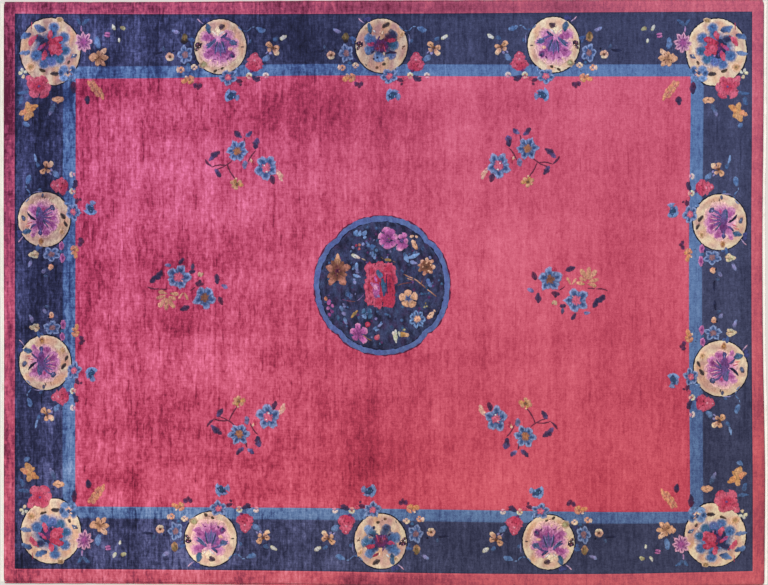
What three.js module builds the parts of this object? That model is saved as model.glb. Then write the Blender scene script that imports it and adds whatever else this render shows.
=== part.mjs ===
// A large hand-knotted wool carpet, lying flat on its underside.
//
// Three solids: the carpet itself, which is one piece of pile and foundation with an overcast cord
// along each long side, and a narrow strip of plain cotton weave at each short end. Millimetres, with
// +X along the length, +Y across the width, +Z up, and the origin under the middle of the underside.
// The edges wander by a few millimetres, as they do on a carpet woven by hand.

import * as THREE from "three";
import { mergeVertices } from "three/addons/utils/BufferGeometryUtils.js";

// Driving sizes.
const HALF_LENGTH = 1750; // middle to the end of the pile
const HALF_WIDTH = 1350; // middle to the outside of the side cord
const CORNER_RADIUS = 14;
const THICKNESS = 12; // foundation and pile together
const WEB_REACH = 14; // how far an end web shows past the pile
const WEB_THICKNESS = 2.4;
const WEB_BEAD = 3.8; // height of the rolled outer edge
const WEB_END_SET_BACK = 5; // each web stops this far inside the side cords
const GAP = 0.3; // between neighbouring solids

// How many steps each stretch of the outline is cut into.
const STEPS = { long: 44, short: 34, corner: 5 };

// How far each edge stands out past its nominal line, at even stations along it.
const LONG_SIDES = [
  { along: -1.0, top: -4, bottom: -17 },
  { along: -0.6, top: -4, bottom: -14 },
  { along: -0.2, top: 2, bottom: -6 },
  { along: 0.2, top: 5, bottom: 3 },
  { along: 0.6, top: 6, bottom: 5 },
  { along: 1.0, top: 6, bottom: -4 },
];
const SHORT_ENDS = [
  { along: -1.0, left: 2, right: 0 },
  { along: -0.6, left: 2, right: 3 },
  { along: -0.2, left: 1, right: -6 },
  { along: 0.2, left: 3, right: -9 },
  { along: 0.6, left: 3, right: -4 },
  { along: 1.0, left: 2, right: -2 },
];

// The carpet's edge from the underside up to the flat top: height, and how far the surface is set
// in from the nominal line at the short ends and at the long sides. The long sides carry the round
// side cord, then a shallow groove, then the pile.
const EDGE = [
  { z: 0.0, end: 3.0, side: 2.4 },
  { z: 1.3, end: 3.0, side: 0.6 },
  { z: 3.3, end: 3.0, side: 0.0 },
  { z: 4.4, end: 1.0, side: 0.4 },
  { z: 6.0, end: 0.0, side: 2.2 },
  { z: 6.6, end: 0.1, side: 4.0 },
  { z: 6.2, end: 0.3, side: 6.6 },
  { z: 9.4, end: 0.8, side: 7.6 },
  { z: 11.3, end: 3.2, side: 10.4 },
  { z: THICKNESS, end: 7.5, side: 15.0 },
];

const SOUTH = "bottom";
const NORTH = "top";
const WEST = "left";
const EAST = "right";

/** A smooth line through one column of a table, read at along, which runs from -1 to 1. */
function reader(table, column) {
  const line = new THREE.SplineCurve(table.map((row) => new THREE.Vector2(row.along, row[column])));
  return (along) => line.getPoint(THREE.MathUtils.clamp((along + 1) / 2, 0, 1)).y;
}

const standsOut = {
  [NORTH]: reader(LONG_SIDES, NORTH),
  [SOUTH]: reader(LONG_SIDES, SOUTH),
  [WEST]: reader(SHORT_ENDS, WEST),
  [EAST]: reader(SHORT_ENDS, EAST),
};

/** Moves a nominal place by the drift of the edges, which fades from each edge to the one opposite. */
function drifted(x, y) {
  const across = y / HALF_WIDTH;
  const along = x / HALF_LENGTH;
  const toEast = THREE.MathUtils.clamp((along + 1) / 2, 0, 1);
  const toNorth = THREE.MathUtils.clamp((across + 1) / 2, 0, 1);
  const moveX = toEast * standsOut[EAST](across) - (1 - toEast) * standsOut[WEST](across);
  const moveY = toNorth * standsOut[NORTH](along) - (1 - toNorth) * standsOut[SOUTH](along);
  return [x + moveX, y + moveY];
}

/** One closed loop round the carpet, set in from the nominal outline, with rounded corners. */
function outline(endInset, sideInset) {
  const halfX = HALF_LENGTH - endInset;
  const halfY = HALF_WIDTH - sideInset;
  const radius = CORNER_RADIUS;
  const corners = [
    { x: halfX - radius, y: halfY - radius, from: 0, steps: STEPS.long },
    { x: radius - halfX, y: halfY - radius, from: 90, steps: STEPS.short },
    { x: radius - halfX, y: radius - halfY, from: 180, steps: STEPS.long },
    { x: halfX - radius, y: radius - halfY, from: 270, steps: STEPS.short },
  ];
  const loop = [];
  corners.forEach((corner, index) => {
    for (let step = 0; step <= STEPS.corner; step += 1) {
      const angle = THREE.MathUtils.degToRad(corner.from + (90 * step) / STEPS.corner);
      loop.push([corner.x + radius * Math.cos(angle), corner.y + radius * Math.sin(angle)]);
    }
    const next = corners[(index + 1) % corners.length];
    const leave = loop[loop.length - 1];
    const turn = THREE.MathUtils.degToRad(next.from);
    const arrive = [next.x + radius * Math.cos(turn), next.y + radius * Math.sin(turn)];
    for (let step = 1; step < corner.steps; step += 1) {
      const share = step / corner.steps;
      loop.push([
        THREE.MathUtils.lerp(leave[0], arrive[0], share),
        THREE.MathUtils.lerp(leave[1], arrive[1], share),
      ]);
    }
  });
  return loop.map(([x, y]) => drifted(x, y));
}

/** A closed solid from a stack of loops of equal length, with a cap over the first and the last. */
function stacked(loops, capOf) {
  const positions = [];
  const indices = [];
  const count = loops[0].length;
  loops.forEach((loop) => loop.forEach((point) => positions.push(...point)));
  for (let row = 0; row + 1 < loops.length; row += 1) {
    for (let step = 0; step < count; step += 1) {
      const a = row * count + step;
      const b = row * count + ((step + 1) % count);
      indices.push(a, b, b + count, a, b + count, a + count);
    }
  }
  const last = (loops.length - 1) * count;
  capOf(loops[0]).forEach(([a, b, c]) => indices.push(c, b, a));
  capOf(loops[loops.length - 1]).forEach(([a, b, c]) => indices.push(last + a, last + b, last + c));
  const geometry = new THREE.BufferGeometry();
  geometry.setAttribute("position", new THREE.Float32BufferAttribute(positions, 3));
  geometry.setIndex(indices);
  const welded = mergeVertices(geometry, 1e-4);
  welded.computeVertexNormals();
  return welded;
}

/** Triangles that fill a loop which lies flat in X and Y. */
function flatCap(loop) {
  const shape = loop.map(([x, y]) => new THREE.Vector2(x, y));
  return THREE.ShapeUtils.triangulateShape(shape, []);
}

/** The carpet: the edge profile carried round the outline, closed by the underside and the top. */
function carpetGeometry() {
  const loops = EDGE.map(({ z, end, side }) => outline(end, side).map(([x, y]) => [x, y, z]));
  return stacked(loops, flatCap);
}

/** The section of an end web, from under the edge of the pile out to its rolled outer edge. */
function webSection() {
  const start = GAP - EDGE[0].end;
  const out = WEB_REACH;
  return [
    { out: start, z: 0 },
    { out: out - 1.2, z: 0 },
    { out, z: 1.2 },
    { out, z: WEB_BEAD - 1.2 },
    { out: out - 1.2, z: WEB_BEAD },
    { out: out - 3.4, z: WEB_BEAD },
    { out: out - 5.0, z: WEB_THICKNESS },
    { out: start, z: WEB_THICKNESS },
  ];
}

/** A small unevenness of the web's outer edge, zero where the web leaves the pile. */
function webRipple(out, along) {
  const share = THREE.MathUtils.clamp(out / WEB_REACH, 0, 1);
  return share * (0.9 * Math.sin(along * 13 + 0.6) + 0.6 * Math.sin(along * 29));
}

/** An end web: its section carried across the width at one short end. */
function webGeometry(direction) {
  const reach = HALF_WIDTH - WEB_END_SET_BACK;
  const loops = [];
  for (let step = 0; step <= STEPS.short; step += 1) {
    const y = direction * THREE.MathUtils.lerp(reach, -reach, step / STEPS.short);
    loops.push(
      webSection().map(({ out, z }) => {
        const reached = HALF_LENGTH + out + webRipple(out, y / HALF_WIDTH);
        const [driftedX, driftedY] = drifted(direction * HALF_LENGTH, y);
        return [driftedX + direction * (reached - HALF_LENGTH), driftedY, z];
      }),
    );
  }
  const sectionShape = webSection().map(({ out, z }) => new THREE.Vector2(out, z));
  return stacked(loops, () => THREE.ShapeUtils.triangulateShape(sectionShape, []));
}

/** A named mesh with a plain cloth material. */
function cloth(name, geometry, color, roughness) {
  const material = new THREE.MeshStandardMaterial({ color, roughness, metalness: 0 });
  const mesh = new THREE.Mesh(geometry, material);
  mesh.name = name;
  return mesh;
}

const rug = new THREE.Group();
rug.add(cloth("carpet", carpetGeometry(), 0xb83a63, 0.95));
rug.add(cloth("end_web_left", webGeometry(-1), 0xf2e9d8, 0.9));
rug.add(cloth("end_web_right", webGeometry(1), 0xf2e9d8, 0.9));

export default rug;
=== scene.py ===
"""A room-size hand-knotted wool carpet with a floral border, lying flat. Metres, in the frame's axes:
+X along the length, +Y across the width, +Z up out of the pile. Tables and charts are in millimetres."""

import bpy
import numpy as np
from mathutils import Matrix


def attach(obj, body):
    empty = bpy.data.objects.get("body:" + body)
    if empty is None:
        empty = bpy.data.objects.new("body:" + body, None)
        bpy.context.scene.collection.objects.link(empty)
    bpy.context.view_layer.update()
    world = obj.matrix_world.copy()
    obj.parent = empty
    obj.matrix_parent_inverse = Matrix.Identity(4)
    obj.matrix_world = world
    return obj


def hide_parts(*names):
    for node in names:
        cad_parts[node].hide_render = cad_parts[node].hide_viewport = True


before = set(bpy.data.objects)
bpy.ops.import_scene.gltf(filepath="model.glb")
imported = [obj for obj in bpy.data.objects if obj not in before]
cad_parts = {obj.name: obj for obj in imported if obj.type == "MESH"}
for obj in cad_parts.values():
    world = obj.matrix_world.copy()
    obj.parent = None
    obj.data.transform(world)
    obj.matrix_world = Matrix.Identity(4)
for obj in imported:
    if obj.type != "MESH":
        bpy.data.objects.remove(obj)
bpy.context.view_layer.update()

MM = 0.001
rng = np.random.default_rng(1927)

# ---------------------------------------------------------------- camera and light

VIEW_WIDTH = 3.533
VIEW_CENTRE = (-0.0015, 0.007)
VIEW_LEVEL = 0.011  # where the view is VIEW_WIDTH wide: the pile's surface
LENS, SENSOR = 50.0, 36.0
SKY = {"Color": (1.0, 0.99, 0.98, 1.0), "Strength": 0.55}
SUN = {"energy": 2.0, "angle": 0.5, "color": (1.0, 0.985, 0.96)}
SUN_TURN = (-32.0, -28.0, 0.0)  # degrees

scene = bpy.context.scene
camera_data = bpy.data.cameras.new("camera")
camera_data.lens = LENS
camera_data.sensor_width = SENSOR
camera = bpy.data.objects.new("camera", camera_data)
camera.location = (*VIEW_CENTRE, VIEW_LEVEL + VIEW_WIDTH * LENS / SENSOR)
scene.collection.objects.link(camera)
scene.camera = camera
scene.view_settings.view_transform = "Standard"

world = bpy.data.worlds.new("studio")
world.use_nodes = True
for label, value in SKY.items():
    world.node_tree.nodes["Background"].inputs[label].default_value = value
scene.world = world

sun_data = bpy.data.lights.new("window", "SUN")
for label, value in SUN.items():
    setattr(sun_data, label, value)
sun = bpy.data.objects.new("window", sun_data)
sun.rotation_euler = np.radians(SUN_TURN)
scene.collection.objects.link(sun)

# ---------------------------------------------------------------- sizes

PILE_END = 1750.0  # middle to the end of the pile
PILE_SIDE = 1342.4  # middle to the side of the pile
HALF_WIDTH = 1350.0  # middle to the outside of the side cord
CORD_SIDE = 1346.4
CORD_RADIUS = 3.1
CORNER = 14.0
PILE_TOP = 11.2

# Half sizes of each band's inner line, from the outermost in.
BANDS = {"outer": (1697.0, 1288.0), "border": (1475.0, 1050.0), "stripe": (1416.0, 995.0)}

# How far the edge, the border line and the stripe stand out past nominal, at even stations.
LONG_SIDES = np.array([
    # top: edge, border, stripe   bottom: edge, border, stripe
    [-4, 3, -5, -17, -24, -20],
    [-4, 0, -2, -14, -20, -15],
    [2, 1, 10, -6, -13, -11],
    [5, 4, 7, 3, -2, -2],
    [6, 9, 6, 5, 0, 8],
    [6, 12, 7, -4, -14, 3],
], float)
SHORT_ENDS = np.array([
    # left: edge, border, stripe   right: edge, border, stripe
    [2, 4, 5, 0, -2, -7],
    [2, 4, 6, 3, -2, -10],
    [1, 3, 6, -6, -6, -14],
    [3, 4, 5, -9, -8, -14],
    [3, 4, 4, -4, -5, -7],
    [2, 4, 4, -2, -4, -5],
], float)


def along_table(table, along):
    """Catmull-Rom through a table's rows at even stations: each stretch is the cubic whose ends hold
    the rows and whose slopes there are half the difference of the rows on either side."""
    padded = np.vstack([2 * table[0] - table[1], table, 2 * table[-1] - table[-2]])
    place = np.clip((along + 1) / 2, 0, 1) * (len(table) - 1)
    low = np.minimum(place.astype(int), len(table) - 2)
    t = (place - low)[..., None]
    a, b, c, d = (padded[low + i] for i in range(4))
    return 0.5 * (2 * b + (c - a) * t + (2 * a - 5 * b + 4 * c - d) * t**2 + (3 * b - a - 3 * c + d) * t**3)


def across(value, lines, moves):
    """Straight-line interpolation of moves, one column for each line, at value."""
    out = np.zeros_like(value)
    for i in range(len(lines) - 1):
        share = np.clip((value - lines[i]) / (lines[i + 1] - lines[i]), 0, 1)
        inside = (value >= lines[i]) & ((value < lines[i + 1]) | (i == len(lines) - 2))
        out = np.where(inside, moves[..., i] * (1 - share) + moves[..., i + 1] * share, out)
    return out


def moved(value, side, limit, minus, plus):
    """One coordinate moved by the drift. minus and plus hold how far the edge, border line and stripe
    stand out on its two sides; the move is blended in straight lines between them."""
    lines = [limit, BANDS["outer"][side], BANDS["stripe"][side]]
    moves = np.concatenate([-minus, plus[..., ::-1]], -1)
    return value + across(np.clip(value, -limit, limit), [-line for line in lines] + lines[::-1], moves)


def drifted(x, y):
    """Nominal place moved by the drift of the edges, border lines and stripes."""
    x, y = np.asarray(x, float), np.asarray(y, float)
    sides = along_table(LONG_SIDES, x / PILE_END)
    ends = along_table(SHORT_ENDS, y / HALF_WIDTH)
    return (
        moved(x, 0, PILE_END, ends[..., :3], ends[..., 3:]),
        moved(y, 1, HALF_WIDTH, sides[..., 3:], sides[..., :3]),
    )


SQUARE_SPREAD = 0.05  # how much of its spread a wave's direction keeps where it is square


def waves(count, shortest, longest, stretch=1.0, square=False):
    """Seeded plane waves: each has a direction, a wavelength and a phase. stretch above 1 turns their
    crests towards Y; square keeps them close to Y and, every third one, to X."""
    angle = rng.uniform(0, np.pi, count)
    if square:
        angle = SQUARE_SPREAD * (angle - np.pi / 2) + np.where(np.arange(count) % 3 == 2, np.pi / 2, 0)
    length = np.exp(rng.uniform(np.log(shortest), np.log(longest), count))
    phase = rng.uniform(0, 2 * np.pi, count)
    kx = 2 * np.pi * np.cos(angle) / length
    ky = 2 * np.pi * np.sin(angle) / length / stretch
    return kx, ky, phase


def summed(field, x, y):
    """The sum of a set of waves' sines at x, y, times the root of two over their number: a spread near
    one."""
    kx, ky, phase = field
    total = np.zeros(np.shape(x))
    for i in range(len(kx)):
        total = total + np.sin(kx[i] * x + ky[i] * y + phase[i])
    return total * np.sqrt(2.0 / len(kx))


UNEVEN = waves(14, 90, 420, 1.8)
CLOUDS = waves(16, 160, 700, 1.6)
BLOTCH = waves(16, 55, 160, 1.7)
# bands of painted sheen and painted shade where the pile ripples
SHEEN_RIPPLES = waves(18, 80, 420, 1.0, True)
SWELL = 0.22
SHADE_DEPTH, CLOUD_DEPTH, SHEEN_RIPPLE_DEPTH = 0.6, 0.06, 0.05
LIE_LEAST, LIE_MORE, LIE_MIDDLE, LIE_REACH = 0.34, 0.66, -250, 330


def pile_height(x, y):
    """Height of the pile's surface: level, plus SWELL times the UNEVEN waves, so it swells softly by a few
    tenths of a millimetre."""
    return PILE_TOP + SWELL * summed(UNEVEN, x, y)


# Soft places painted lighter or darker, as painted sheen and shade where the pile lies the other way and as
# fading: middle, reach and how much lighter.
SHEEN_SHADE_AND_FADE = np.array([
    # x, y, reach_x, reach_y, lighter
    [-1330, 900, 130, 260, -0.10],
    [-1335, 935, 45, 55, -0.40],
    [-1210, 850, 45, 45, -0.30],
    [-1335, 480, 60, 90, 0.22],
    [-1330, -300, 60, 110, 0.35],
    [-1030, -260, 110, 80, 0.25],
    [-300, 890, 420, 120, -0.16],
    [-20, -560, 260, 240, -0.14],
    [-800, -780, 420, 100, -0.18],
    [-1250, -640, 70, 60, -0.20],
    [-1330, -720, 50, 70, 0.42],
    [-1240, -940, 60, 40, 0.50],
    [-470, -960, 260, 40, 0.20],
    [-1590, 40, 130, 330, -0.22],
    [-1590, 760, 120, 190, -0.16],
    [-390, 1190, 240, 130, -0.18],
    [1600, 60, 120, 260, -0.05],
    [1330, -950, 330, 160, -0.10],
    [-1350, 300, 90, 300, -0.10],
    [-1216, 800, 90, 140, 0.25],
    [-1216, -780, 90, 260, 0.35],
    [-930, 480, 260, 170, 0.30],
    [-930, -40, 200, 200, -0.30],
    [-560, 835, 80, 80, -0.25],
    [-400, 850, 240, 150, -0.27],
    [-610, 420, 120, 160, 0.25],
    [-860, -330, 240, 150, 0.40],
    [-1170, -580, 160, 110, -0.30],
    [-900, -850, 300, 120, 0.24],
    [-380, -850, 130, 150, 0.10],
    [-420, -700, 80, 80, -0.35],
    [-90, -780, 170, 260, -0.26],
    [-160, -420, 140, 120, 0.16],
    [90, 760, 220, 240, -0.10],
    [210, 300, 120, 300, 0.10],
    [560, -860, 170, 150, 0.10],
    [600, 180, 180, 200, 0.17],
    [1100, 120, 110, 320, -0.12],
    [800, 520, 300, 200, -0.05],
    [-600, 1318, 900, 40, -0.28],
    [250, 1318, 220, 34, -0.40],
    [-1727, 900, 40, 420, -0.80],
    [-1500, 1318, 420, 40, -0.20],
    [1180, -490, 260, 420, -0.14],
    [-1180, -860, 90, 55, -0.45],
    [-20, 1140, 150, 120, -0.36],
    [-1533, 1118, 130, 130, -0.38],
    [-1528, -1114, 120, 120, 0.14],
    [-1216, 930, 110, 60, -0.30],
    [-1727, -760, 34, 120, -0.10],
    [1724, -1060, 34, 130, -0.20],
    [-1350, -1315, 330, 36, 0.22],
    [60, -1320, 260, 36, -0.45],
    [-1500, 1180, 420, 150, 0.20],
    [-900, -1190, 420, 130, 0.35],
    [-100, -1190, 420, 130, 0.20],
    [-500, 1180, 300, 130, -0.15],
    [1600, -100, 120, 900, 0.10],
    [-1310, 1185, 95, 55, 0.40],
    [-1354, 1046, 50, 22, 0.40],
    [-1285, 1035, 42, 40, -0.50],
    [-1660, 930, 40, 90, 0.40],
    [-1500, 930, 60, 80, -0.25],
    [-1442, 880, 18, 100, -0.60],
    [-1442, -925, 30, 55, -0.40],
    [-1450, -800, 24, 40, 0.50],
    [-1402, 870, 22, 120, -0.35],
    [-1400, -890, 24, 90, 0.30],
    [-1240, -832, 60, 34, -0.40],
    [1580, -650, 160, 240, -0.20],
    [600, -1160, 700, 110, -0.20],
    [-1290, -1190, 90, 70, 0.42],
    [-1330, 1104, 36, 30, -0.60],
    [-1560, 345, 110, 110, -0.18],
    [-1540, 470, 60, 46, -0.40],
    [-1640, -410, 36, 50, 0.35],
    [-1722, 160, 30, 190, -0.38],
    [-1722, -440, 30, 60, 0.35],
    [-1722, -1200, 30, 90, 0.25],
    [-700, 1325, 110, 36, 0.30],
    [-100, 1325, 100, 36, -0.35],
    [210, 1325, 60, 36, 0.35],
    [780, 1325, 260, 36, -0.26],
    [-1560, 1325, 110, 36, -0.30],
    [1712, -550, 40, 120, -0.20],
    [-1077, -1312, 80, 36, -0.45],
    [-440, -1312, 120, 36, 0.25],
    [-160, -1312, 60, 36, -0.35],
    [110, -310, 110, 110, -0.18],
    [430, -700, 360, 110, -0.14],
    [-1300, 90, 80, 100, -0.20],
    [-1290, 1085, 42, 42, -0.70],
    [-1552, 598, 44, 40, -0.40],
    [-1625, 846, 40, 40, -0.20],
], float)


def lighter(x, y):
    """Sum of the soft places of painted sheen, painted shade and fading, each a bell curve in both
    directions.
    """
    total = np.zeros(np.shape(x))
    for cx, cy, rx, ry, amount in SHEEN_SHADE_AND_FADE:
        total = total + SHADE_DEPTH * amount * np.exp(-(((x - cx) / rx) ** 2) - ((y - cy) / ry) ** 2)
    return total


def pile_tone(x, y):
    """How light the pile looks: the soft places of painted sheen and shade, some random clouds, and bands
    of painted sheen and shade where the pile ripples, less of them towards +X."""
    uneven = CLOUD_DEPTH * summed(CLOUDS, x, y) + SHEEN_RIPPLE_DEPTH * summed(SHEEN_RIPPLES, x, y)
    return lighter(x, y) + uneven * pile_lie(x, y)


def pile_lie(x, y):
    """How much the pile's lie varies, and with it how strong its painted sheen is: strong at the -X end,
    weak at the +X end, by a logistic curve.
    """
    return LIE_LEAST + LIE_MORE / (1 + np.exp((x - LIE_MIDDLE) / LIE_REACH))


def warmth(x, y):
    """How much redder the dye is: least at the top left, most at the middle of the bottom, as a slope
    and a bell curve."""
    bottom = np.exp(-((x / 700) ** 2) - ((y + 900) / 500) ** 2)
    return np.clip(0.40 - y / 1900 + x / 9000 + 0.10 * bottom, 0, 1)


# ---------------------------------------------------------------- dyes and materials

DYES = {
    "cream": "E1BCA9", "pale_cream": "EADCC4", "white": "CFCEDA", "green": "BCBC9C", "olive": "7C6C4A",
    "peach": "D8A48C", "ochre": "C69676", "gold": "C08C52", "coral": "DA8C6E", "clay": "BC7E72",
    "sienna": "A0684E", "brown": "7A4E40", "earth": "30241F", "rosewood": "AE8086", "blush": "DDB2AA",
    "orchid": "C480B6", "pale_orchid": "DDA8C4", "pink": "C468AE", "magenta": "984C8C", "plum": "642E6A",
    "mauve": "86626E", "crimson": "B03A5A", "rose": "C65E7C", "red": "A62E4A", "maroon": "5A2040",
    "aubergine": "3E284C", "violet": "645492", "violet_blue": "40447C", "lilac": "8C86BE",
    "pale_lilac": "8C9CCE", "pale_sky": "7E9ED6", "sky": "6C86BA", "rim_blue": "5666A6", "blue": "45659C",
    "deep_blue": "2C4072", "teal": "335C82", "slate": "465880", "navy": "282C52", "navy_pile": "363A60",
    "ink": "181830",
}


def linear(text):
    """Linear light from six hex digits: each pair over 255, put through the sRGB curve."""
    c = np.array([int(text[i : i + 2], 16) for i in (0, 2, 4)]) / 255
    return np.where(c <= 0.04045, c / 12.92, ((c + 0.055) / 1.055) ** 2.4)


DYE = {name: linear(text) for name, text in DYES.items()}

# The pile's colours from darkest to lightest, picked by its painted sheen and shade and its random tone.
RAMPS = {
    "field": [(0.0, "70143A"), (0.34, "A9365F"), (0.52, "C04C77"), (0.74, "D3628F"), (1.0, "EE7CB2")],
    "stripe": [(0.0, "1E2A58"), (0.34, "3C5088"), (0.55, "5674AC"), (0.76, "6C88BE"), (1.0, "8CA6D8")],
    "border": [(0.0, "10112A"), (0.34, "23264A"), (0.55, "363A64"), (0.78, "4C5186"), (1.0, "6A70A8")],
    "outer": [(0.0, "5A1838"), (0.34, "983E66"), (0.55, "BC5276"), (0.78, "CE6A90"), (1.0, "E284B0")],
}
COTTON_RAMP = [(0.22, "CDBBA8"), (0.46, "FFFAF2")]

# What a pile's colour is multiplied by where its dye is warm, and where the pile lies even: there a painted
# sheen.
PLAIN_LOOK = {"warmed": (1.02, 0.97, 0.86, 1), "even_sheen": (1.06, 1.10, 1.04, 1)}
ROSE_LOOK = {"warmed": (1.02, 0.86, 0.65, 1), "even_sheen": (1.12, 1.42, 1.06, 1)}
BLUE_LOOK = {"warmed": (1.08, 1.0, 0.86, 1), "even_sheen": (1.14, 1.12, 1.03, 1)}
NAVY_LOOK = {"warmed": (1.08, 1.0, 0.86, 1), "even_sheen": (1.34, 1.38, 1.08, 1)}
LOOKS = {"field": ROSE_LOOK, "outer": ROSE_LOOK, "border": NAVY_LOOK, "stripe": BLUE_LOOK}

# Noises over the pile: scales along X, Y and Z, detail, roughness, shift and wander.
NOISES = {
    "strokes": ((92, 40, 1), 2.0, 0.55, 0.0, 0.6),
    "tufts": ((46, 15, 1), 2.0, 0.5, 3.0, 0.8),
    "bands": ((80, 2.4, 1), 1.0, 0.5, 23.0, 0.2),
    "wefts": ((26, 130, 1), 1.0, 0.5, 29.0, 0.3),
    "partings": ((95, 5.5, 1), 1.0, 0.5, 11.0, 0.3),
    "grain": ((330, 170, 1), 1.0, 0.5, 7.0, 0.0),
    "spots": ((135, 80, 1), 2.0, 0.6, 19.0, 0.5),
    "knots": ((235, 210, 60), 2.0, 0.6, 0.0, 0.0),
}
# the streak noises paint the pile's sheen and shade
STREAKS = {"strokes": 0.98, "tufts": 0.9, "bands": 0.5, "wefts": 0.45}  # how much each lights the pile
# painted shade in the pile's partings
PARTED, PARTING_EDGE, PARTING_SHADE = 0.64, 10.0, 0.3  # where the pile parts, how sharply, how dark
KNOT = (0.0046, 0.0042, 1.0)  # one knot, metres
# a flower's dye darkened and lightened: painted shade and painted sheen, with its random tone
DARKENED, LIGHTENED = (0.50, 0.44, 0.50, 1), (1.35, 1.40, 1.42, 1)  # a flower's dye at its extremes
WOOL_FINISH = {"Roughness": 0.9, "Specular IOR Level": 0.15, "Sheen Roughness": 0.45}
COTTON_FINISH = {"Roughness": 0.85, "Specular IOR Level": 0.25, "Sheen Weight": 0.1}
FLOOR_FINISH = {"Base Color": (0.72, 0.70, 0.67, 1), "Roughness": 0.8}


def node(tree, kind, inputs=None, **settings):
    """A shader node with its settings, and its inputs set or linked by name or number."""
    made = tree.nodes.new(kind)
    for key, value in settings.items():
        setattr(made, key, value)
    for key, value in (inputs or {}).items():
        if isinstance(value, bpy.types.NodeSocket):
            tree.links.new(value, made.inputs[key])
        else:
            made.inputs[key].default_value = value
    return made


def maths(tree, operation, *values, clamp=False):
    """One step of arithmetic."""
    step = node(tree, "ShaderNodeMath", dict(enumerate(values)), operation=operation, use_clamp=clamp)
    return step.outputs[0]


def swung(tree, value, middle, strength, clamp=False):
    """How far a value stands above its middle, times a strength."""
    return maths(tree, "MULTIPLY", maths(tree, "SUBTRACT", value, middle), strength, clamp=clamp)


def noise(tree, where, scales, detail, rough, shift, wander):
    """Noise over object coordinates, stretched by its three scales and shifted."""
    stretch = {"Vector": where, "Scale": scales, "Location": (shift, shift, shift)}
    stretched = node(tree, "ShaderNodeMapping", stretch).outputs[0]
    inputs = {"Vector": stretched, "Scale": 1.0, "Detail": detail, "Roughness": rough, "Distortion": wander}
    return node(tree, "ShaderNodeTexNoise", inputs).outputs["Fac"]


def ribs(tree, where, scale, wander, across_axis):
    """Even ribs that follow one another along an axis, as a sine wave a little distorted by noise."""
    inputs = {"Vector": where, "Scale": scale, "Distortion": wander}
    return node(tree, "ShaderNodeTexWave", inputs, bands_direction=across_axis).outputs["Fac"]


def mixed(tree, factor, a, b, blend="MIX"):
    """Two colours mixed: a at a factor of 0, b at 1, or for MULTIPLY a times b at 1."""
    mix = node(tree, "ShaderNodeMix", data_type="RGBA", blend_type=blend)
    for socket, value in (("Factor_Float", factor), ("A_Color", a), ("B_Color", b)):
        slot = next(s for s in mix.inputs if s.identifier == socket)
        if isinstance(value, bpy.types.NodeSocket):
            tree.links.new(value, slot)
        else:
            slot.default_value = value
    return next(s for s in mix.outputs if s.identifier == "Result_Color")


def ramped(tree, factor, ramp):
    """A colour picked by a factor from a ramp's places and colours, its two ends set before the rest."""
    colours = node(tree, "ShaderNodeValToRGB", {"Fac": factor})
    stops = colours.color_ramp.elements
    for i, (place, text) in enumerate([ramp[0], ramp[-1], *ramp[1:-1]]):
        stop = stops[i] if i < 2 else stops.new(place)
        stop.position = place
        stop.color = (*linear(text), 1)
    return colours.outputs["Color"]


def relieved(tree, height, strength, distance):
    """Puts a height on the shader as bump."""
    bump = node(tree, "ShaderNodeBump", {"Height": height, "Strength": strength, "Distance": distance})
    tree.links.new(bump.outputs["Normal"], tree.nodes["Principled BSDF"].inputs["Normal"])


def attribute(tree, label, output):
    """What a piece says at each point under a label."""
    return node(tree, "ShaderNodeAttribute", attribute_name=label).outputs[output]


def placed(tree):
    """Object coordinates."""
    return node(tree, "ShaderNodeTexCoord").outputs["Object"]


def begun(name, finish):
    """A new material whose shader has a finish, and its tree."""
    material = bpy.data.materials.new(name)
    material.use_nodes = True
    tree = material.node_tree
    for label, value in finish.items():
        tree.nodes["Principled BSDF"].inputs[label].default_value = value
    return material, tree


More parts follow.
